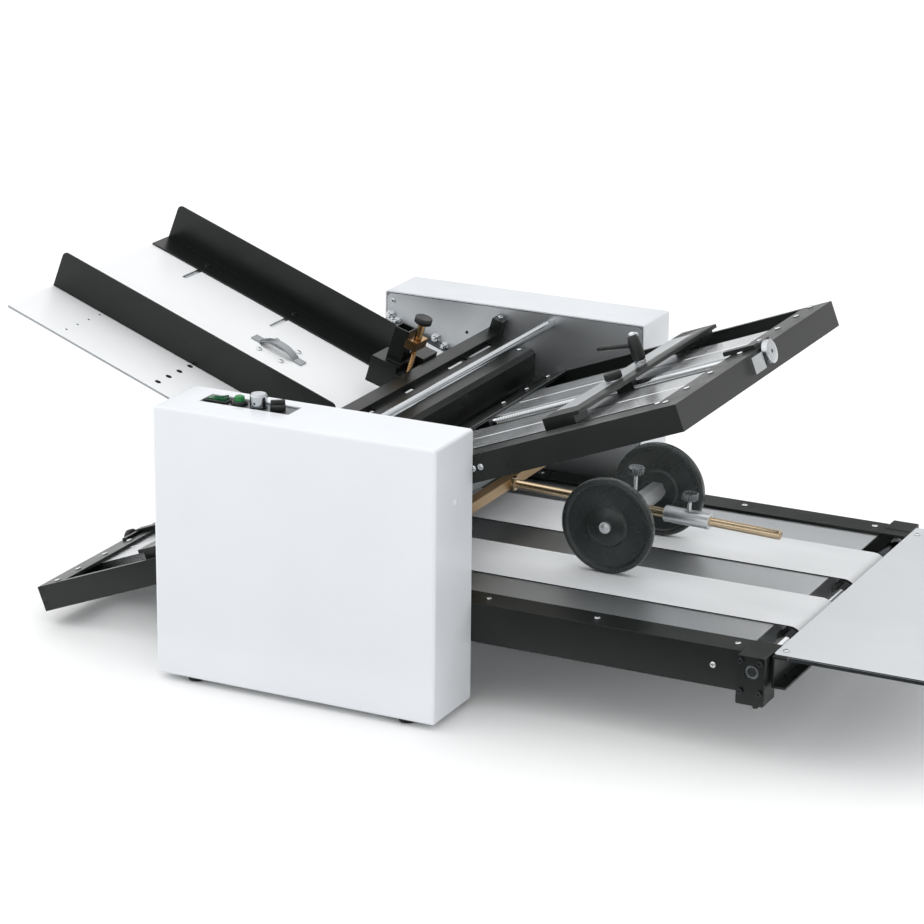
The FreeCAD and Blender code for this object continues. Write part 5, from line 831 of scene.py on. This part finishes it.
SETTING = SELECTOR @ Matrix.Rotation(math.radians(35), 4, "Z")
disc = turned([(3, -14), (3, 0.3), (8.8, 0.3), (9, 0.7), (9, 6.8), (8.2, 7.8), (7.4, 8)], sides=72)
grip(disc, 18, 1, 6.5, 0.6)
bar = round_corners(block(-9, -2.6, 7, 9, 2.6, 13), 1.1, 3)
settle(join_all([disc, bar]), SETTING)
fit(disc, "moulded_selector_knob", "selector_knob", knob_black, "selector_knob")
pointer = round_corners(block(3.2, -0.5, 12.8, 8, 0.5, 13), 0.08, 1)
fit(settle(pointer, SETTING), "selector_pointer", "selector_knob", mark_white)
print("knobs:", knob.name, disc.name)

# %% [markdown]
# ## Sheet separator
# A brass screw with a visible thread carries a black knob with a knurled edge. The thread is a stack of
# rings, which looks like a helix from an arm's length and takes fewer faces.

# %% Separator screw
SEPARATOR = along(BEAM, -8.5, 388, 0)
path = ridges([(2.9, -11.7), (3.2, -11)], -11, 25, 3.9, 3.1, 2.4)
path += [(3.4, 25.5), (3.4, 38.3), (4.7, 38.3), (5, 38.7), (5, 60.6), (4.7, 61)]
screw = turned(path, sides=32)
fit(settle(screw, SEPARATOR), "threaded_separator_screw", "separator_screw", brass, "separator_screw")
knob = turned([(4.7, 61), (10.4, 61), (11.1, 61.8), (11.1, 69), (10.3, 69.8), (9, 70), (8, 69.7)], sides=96)
grip(knob, 48, 62, 69, 0.5)
fit(settle(knob, SEPARATOR), "separator_knob", "separator_screw", knob_black)
print("separator screw has", len(screw.data.polygons), "faces")

# %% [markdown]
# ## Folding plates' fittings
# The upper plate's front bar is folded from sheet, and its top flange is a narrow black band beside the
# slats. A thin block with rounded edges is enough for it.

# %% Flange along the front bar
flange = round_corners(block(10 - UPPER_REACH, 107.5, -2.5, -8, 140, -0.05), 0.4)
fit(settle(flange, UPPER), "front_bar_flange", "upper_plate_frame", black_paint)
print("flange", UPPER_REACH - 18, "mm long")

# %% [markdown]
# Each plate's stop is set by a threaded spindle with a dial outside the end plate, and held by a thumb nut.
# The thread is drawn as rings, like the separator's. A dial is a low knurled disc with a hexagonal hole, of
# aluminium above and moulded below, and a thumb nut is higher and has coarser ribs.

# %% Spindles, adjusting knobs and thumb nuts
STOP_MIDDLE, NUT_Y, LEVER_Y = -186, 330, 414  # where the fittings stand on a stop
for level, axes, reach, dial_finish in (("upper", UPPER, UPPER_REACH, dial_aluminium),
                                        ("lower", LOWER, LOWER_REACH, knob_black)):
    node = level + "_adjuster"
    axis = along(axes, 0, SPINDLE_Y, -SPINDLE_DROP) @ FACING["x"]
    start = 20.3 - reach
    path = ridges([(3.4, start), (4, start + 1), (4, start + 24)], start + 24, -62, 4, 3.5, 2.5)
    spindle = turned(path + [(4, -61), (4, 2.5)], sides=20)
    fit(settle(spindle, axis), node + "_spindle", node, bright_steel, node)
    dial = turned([(14.4, 2.5), (15.1, 3.2), (15.1, 9.6), (14.5, 10.4), (14, 10.5), (7.4, 10.5),
                   (7.2, 10.2)], sides=96)
    grip(dial, 48, 3.4, 9.4, 0.4)
    cut(dial, turned([(2.9, 6.5), (2.9, 12)], sides=6))
    fit(settle(smooth(dial), axis), node + "_dial", node, dial_finish)

    stop = level + "_stop"
    drop(dressed[stop], inside(axes, (-235, SPINDLE_Y + 2, 2.6), (-209.5, SPINDLE_Y + 26, 13)))
    nut = turned([(10.2, 2.5), (11, 3.3), (11, 11.2), (10, 12.3), (8, 12.5), (7, 12.2)], sides=72)
    grip(nut, 24, 3.5, 11, 0.5)
    fit(settle(nut, along(axes, STOP_MIDDLE, NUT_Y, STOP_TOP - 1.4)), stop + "_nut", stop, knob_black)
    washer = turned([(9.2, 0), (9.2, 0.8), (6, 0.8), (6, 1.1)])
    fit(settle(washer, along(axes, STOP_MIDDLE, NUT_Y, STOP_TOP)), stop + "_washer", stop, bright_steel)
print("two spindles, two dials and two thumb nuts")

# %% [markdown]
# Beside the upper nut stands the clamp lever, which is moulded: a tapered post, and an arm that droops a
# little and thins to a rounded tip. A chromed nut and cap end the post.

# %% Clamp lever
LEVER, DROOP = along(UPPER, STOP_MIDDLE, LEVER_Y, STOP_TOP + 0.3), math.radians(8)
post = turned([(5.6, 4), (7.6, 5), (8.6, 9), (8.4, 24), (7.8, 31), (6.6, 36), (5, 38)])
arm = turned([(3.4, 0), (3.8, -6), (3.5, -20), (3.4, -36), (3.6, -46), (3.5, -52), (2.6, -53.6), (1, -54)],
             sides=24)
settle(arm, Matrix.Translation((0, 0, mm(24.5))) @ Matrix.Rotation(DROOP, 4, "Y") @ FACING["x"])
lever = join_all([post, arm])
fit(settle(smooth(lever), LEVER), "lever_handle", "clamp_lever", knob_black, "clamp_lever")
nut = round_corners(turned([(7.6, 0), (7.6, 4)], sides=6), 0.5)
cap = turned([(4.6, 38), (4.4, 39.8), (3.4, 41.4), (1.8, 42)], sides=32)
fit(settle(join_all([nut, cap]), LEVER), "lever_nut_and_cap", "clamp_lever", rod_chrome)
print("clamp lever at", [round(1000 * v) for v in LEVER.translation])

# %% [markdown]
# ## Press wheels
# Each wheel is a moulded disc with a rounded rim, a flat web and a raised boss. Both sides are alike, so
# half the profile is listed, from the bore to the rim, and mirrored.

# %% Wheels
HUB, SLEEVE, WHEEL_OUT = 179, 254, 82  # up the rod, and how far each wheel stands from it
half = [(5.05, 0), (5.05, -7), (24.4, -7), (25.6, -6.5), (26.4, -5.4), (27.6, -4.2), (29, -4), (51.5, -4),
        (52.8, -4.3), (54, -5.6), (55.2, -6.6), (57, -7), (59, -6.8), (60.6, -6.1), (61.6, -4.8), (62, -3),
        (62, 0)]
profile = half + [(radius, -height) for radius, height in reversed(half[:-1])]
for name, y in (("front_wheel", -WHEEL_OUT), ("rear_wheel", WHEEL_OUT)):
    wheel = turned(profile, sides=96, bored=True)
    fit(settle(wheel, along(PRESS, HUB, y, 0) @ FACING["y"]), "moulded_" + name, name, wheel_plastic, name)
print("wheels have", len(wheel.data.polygons), "faces each")

# %% [markdown]
# Thumb screws hold the hub and the sleeve on the rod. Their coarse knurl is painted darker than the chromed
# stem, as painted shade between its ridges. A domed cap closes each end of the axle.

# %% Thumb screws and axle caps
for name, u, rise in (("hub_screw", HUB, 54), ("sleeve_screw", SLEEVE, 33)):
    path = ridges([(2.2, 6.3)], 6.3, rise - 12, 2.75, 2.35, 1.6)
    path += [(2.75, rise - 11.5), (2.75, rise - 9), (9.6, rise - 9), (10.4, rise - 8.2), (10.4, rise - 0.9),
             (9.6, rise), (6.5, rise), (6, rise - 0.5)]
    screw = grip(turned(path, sides=72), 24, rise - 8, rise - 1, 0.6)
    fit(settle(screw, along(PRESS, u, 0, 0)), "knurled_" + name, name, rod_chrome, name)
    # The knurled heads get the darker nickel: painted shade between their ridges.
    repaint(screw, knurl_shaded_nickel, inside(along(PRESS, u, 0, 0), (-12, -12, rise - 9.2), (12, 12, rise + 1)))
cap = turned([(5, 0), (6.9, 0), (6.9, 1.8), (6.1, 3.2), (4.6, 4.2), (2.4, 4.8), (0.6, 5)], sides=32)
cap_places = [along(PRESS, HUB, side * (WHEEL_OUT + 7.4), 0) @ FACING[way]
              for side, way in ((-1, "-y"), (1, "y"))]
fit(repeat(cap, cap_places), "axle_caps", "wheel_hub", cap_steel)
discard(cap)
print("two thumb screws and", len(cap_places), "axle caps")

# %% [markdown]
# ## Studio
# A pale floor runs out past the picture under a white sky, so that the machine stands free. The floor is
# dull and only just uneven, and takes a soft shadow.

# %% Floor
bpy.ops.mesh.primitive_plane_add(size=40, location=(0, 0, 0))
floor = bpy.context.object
floor.name = "studio_floor"
finish, tree, shader, spot = new_finish("studio_floor", "FAFAFA", 0.6)  # fades into the sky
vary(tree, shader, ("F8F9F9", "FCFCFC"), add(tree, "TexNoise", {"Scale": per(900)}, {"Vector": spot}))
floor.data.materials.append(finish)
print("floor:", floor.name)

# %% [markdown]
# The sky gives most of the light. It is brightest above and to the left, and falls off evenly with the
# angle from there, so that every curved piece gets one light side and one dark side.

# %% Sky
SKY_WAY = (-0.5, 0.05, 0.86)  # towards the brightest part
world = bpy.data.worlds.new("studio_world")
bpy.context.scene.world = world
world.use_nodes = True
sky = world.node_tree
background = sky.nodes["Background"]
background.inputs["Color"].default_value = colour("FFFFFF")
way = add(sky, "TexCoord", {}, {}, "Generated")
towards = add(sky, "VectorMath", {"operation": "DOT_PRODUCT", 1: SKY_WAY}, {0: way}, "Value")
strength = add(sky, "MapRange", {"From Min": -0.5, "From Max": 1, "To Min": 0.38, "To Max": 1.6},
               {"Value": towards})
sky.links.new(strength, background.inputs["Strength"])
print("sky brightest towards", SKY_WAY)

# %% [markdown]
# Two large soft lights help the sky, to the front left and the right. A faint small one lights the
# conveyor in the shade of the folding plate. None of them shows in the metal.

# %% Lights
def soft_light(name, spot, aim, width, power):
    """A soft rectangle of light, which only shows in what it lights."""
    bpy.ops.object.light_add(type="AREA", location=spot)
    light = bpy.context.object
    light.name = name
    light.data.shape = "RECTANGLE"
    light.data.size = width
    light.data.size_y = width * 0.7
    light.data.energy = power
    light.rotation_euler = (Vector(aim) - Vector(spot)).to_track_quat("-Z", "Y").to_euler()
    light.visible_camera = False
    light.visible_glossy = False


soft_light("front_light", (-0.9, -2.6, 1.2), (0, 0, 0.1), 1.6, 1.5)
soft_light("right_light", (2.5, -0.9, 0.8), (0.3, 0.1, 0.1), 1.2, 5)
soft_light("conveyor_light", (0.1, 0.02, 0.285), (0.13, 0.02, 0.1), 0.34, 0.5)
print(len(bpy.data.lights), "soft lights")

# %% [markdown]
# Bright metal shows what stands round it, so dark cards outside the picture give the plates and the rods
# their dark bands. They throw no shadow.

# %% Dark cards
card_finish, tree, shader, spot = new_finish("studio_card", "3A3D40", 0.8)  # bands of soft dark grey
vary(tree, shader, ("36393C", "3E4144"), add(tree, "TexNoise", {"Scale": per(300)}, {"Vector": spot}))


def dark_card(name, middle, aim, width, height):
    """A dark rectangle that faces a point, and shows in reflections only."""
    bpy.ops.mesh.primitive_plane_add(size=1, location=middle)
    card = bpy.context.object
    card.name = name
    card.scale = (width, height, 1)
    card.rotation_euler = (Vector(aim) - Vector(middle)).to_track_quat("Z", "Y").to_euler()
    card.data.materials.append(card_finish)
    card.visible_camera = False
    card.visible_diffuse = False
    card.visible_shadow = False


dark_card("back_card", (-1.6, 2.6, 0.86), (0, 0, 0.3), 3.2, 0.55)  # low across the back
dark_card("front_card", (0.1, -0.98, 0.005), (0.1, -0.98, 1), 1.7, 1.0)  # flat before the machine
dark_card("right_card", (2.3, 0.5, 0.45), (0, 0, 0.3), 1.6, 0.9)  # to the right
dark_card("high_card", (0.15, 2.6, 1.2), (0.1, 0, 0.3), 2.2, 0.45)  # above the first
dark_card("left_flag", (-2.2, -1.4, 0.6), (-0.2, -0.3, 0.4), 0.5, 1.6)  # upright, to the left
bpy.context.scene.view_settings.view_transform = "Standard"
print("dark cards placed")
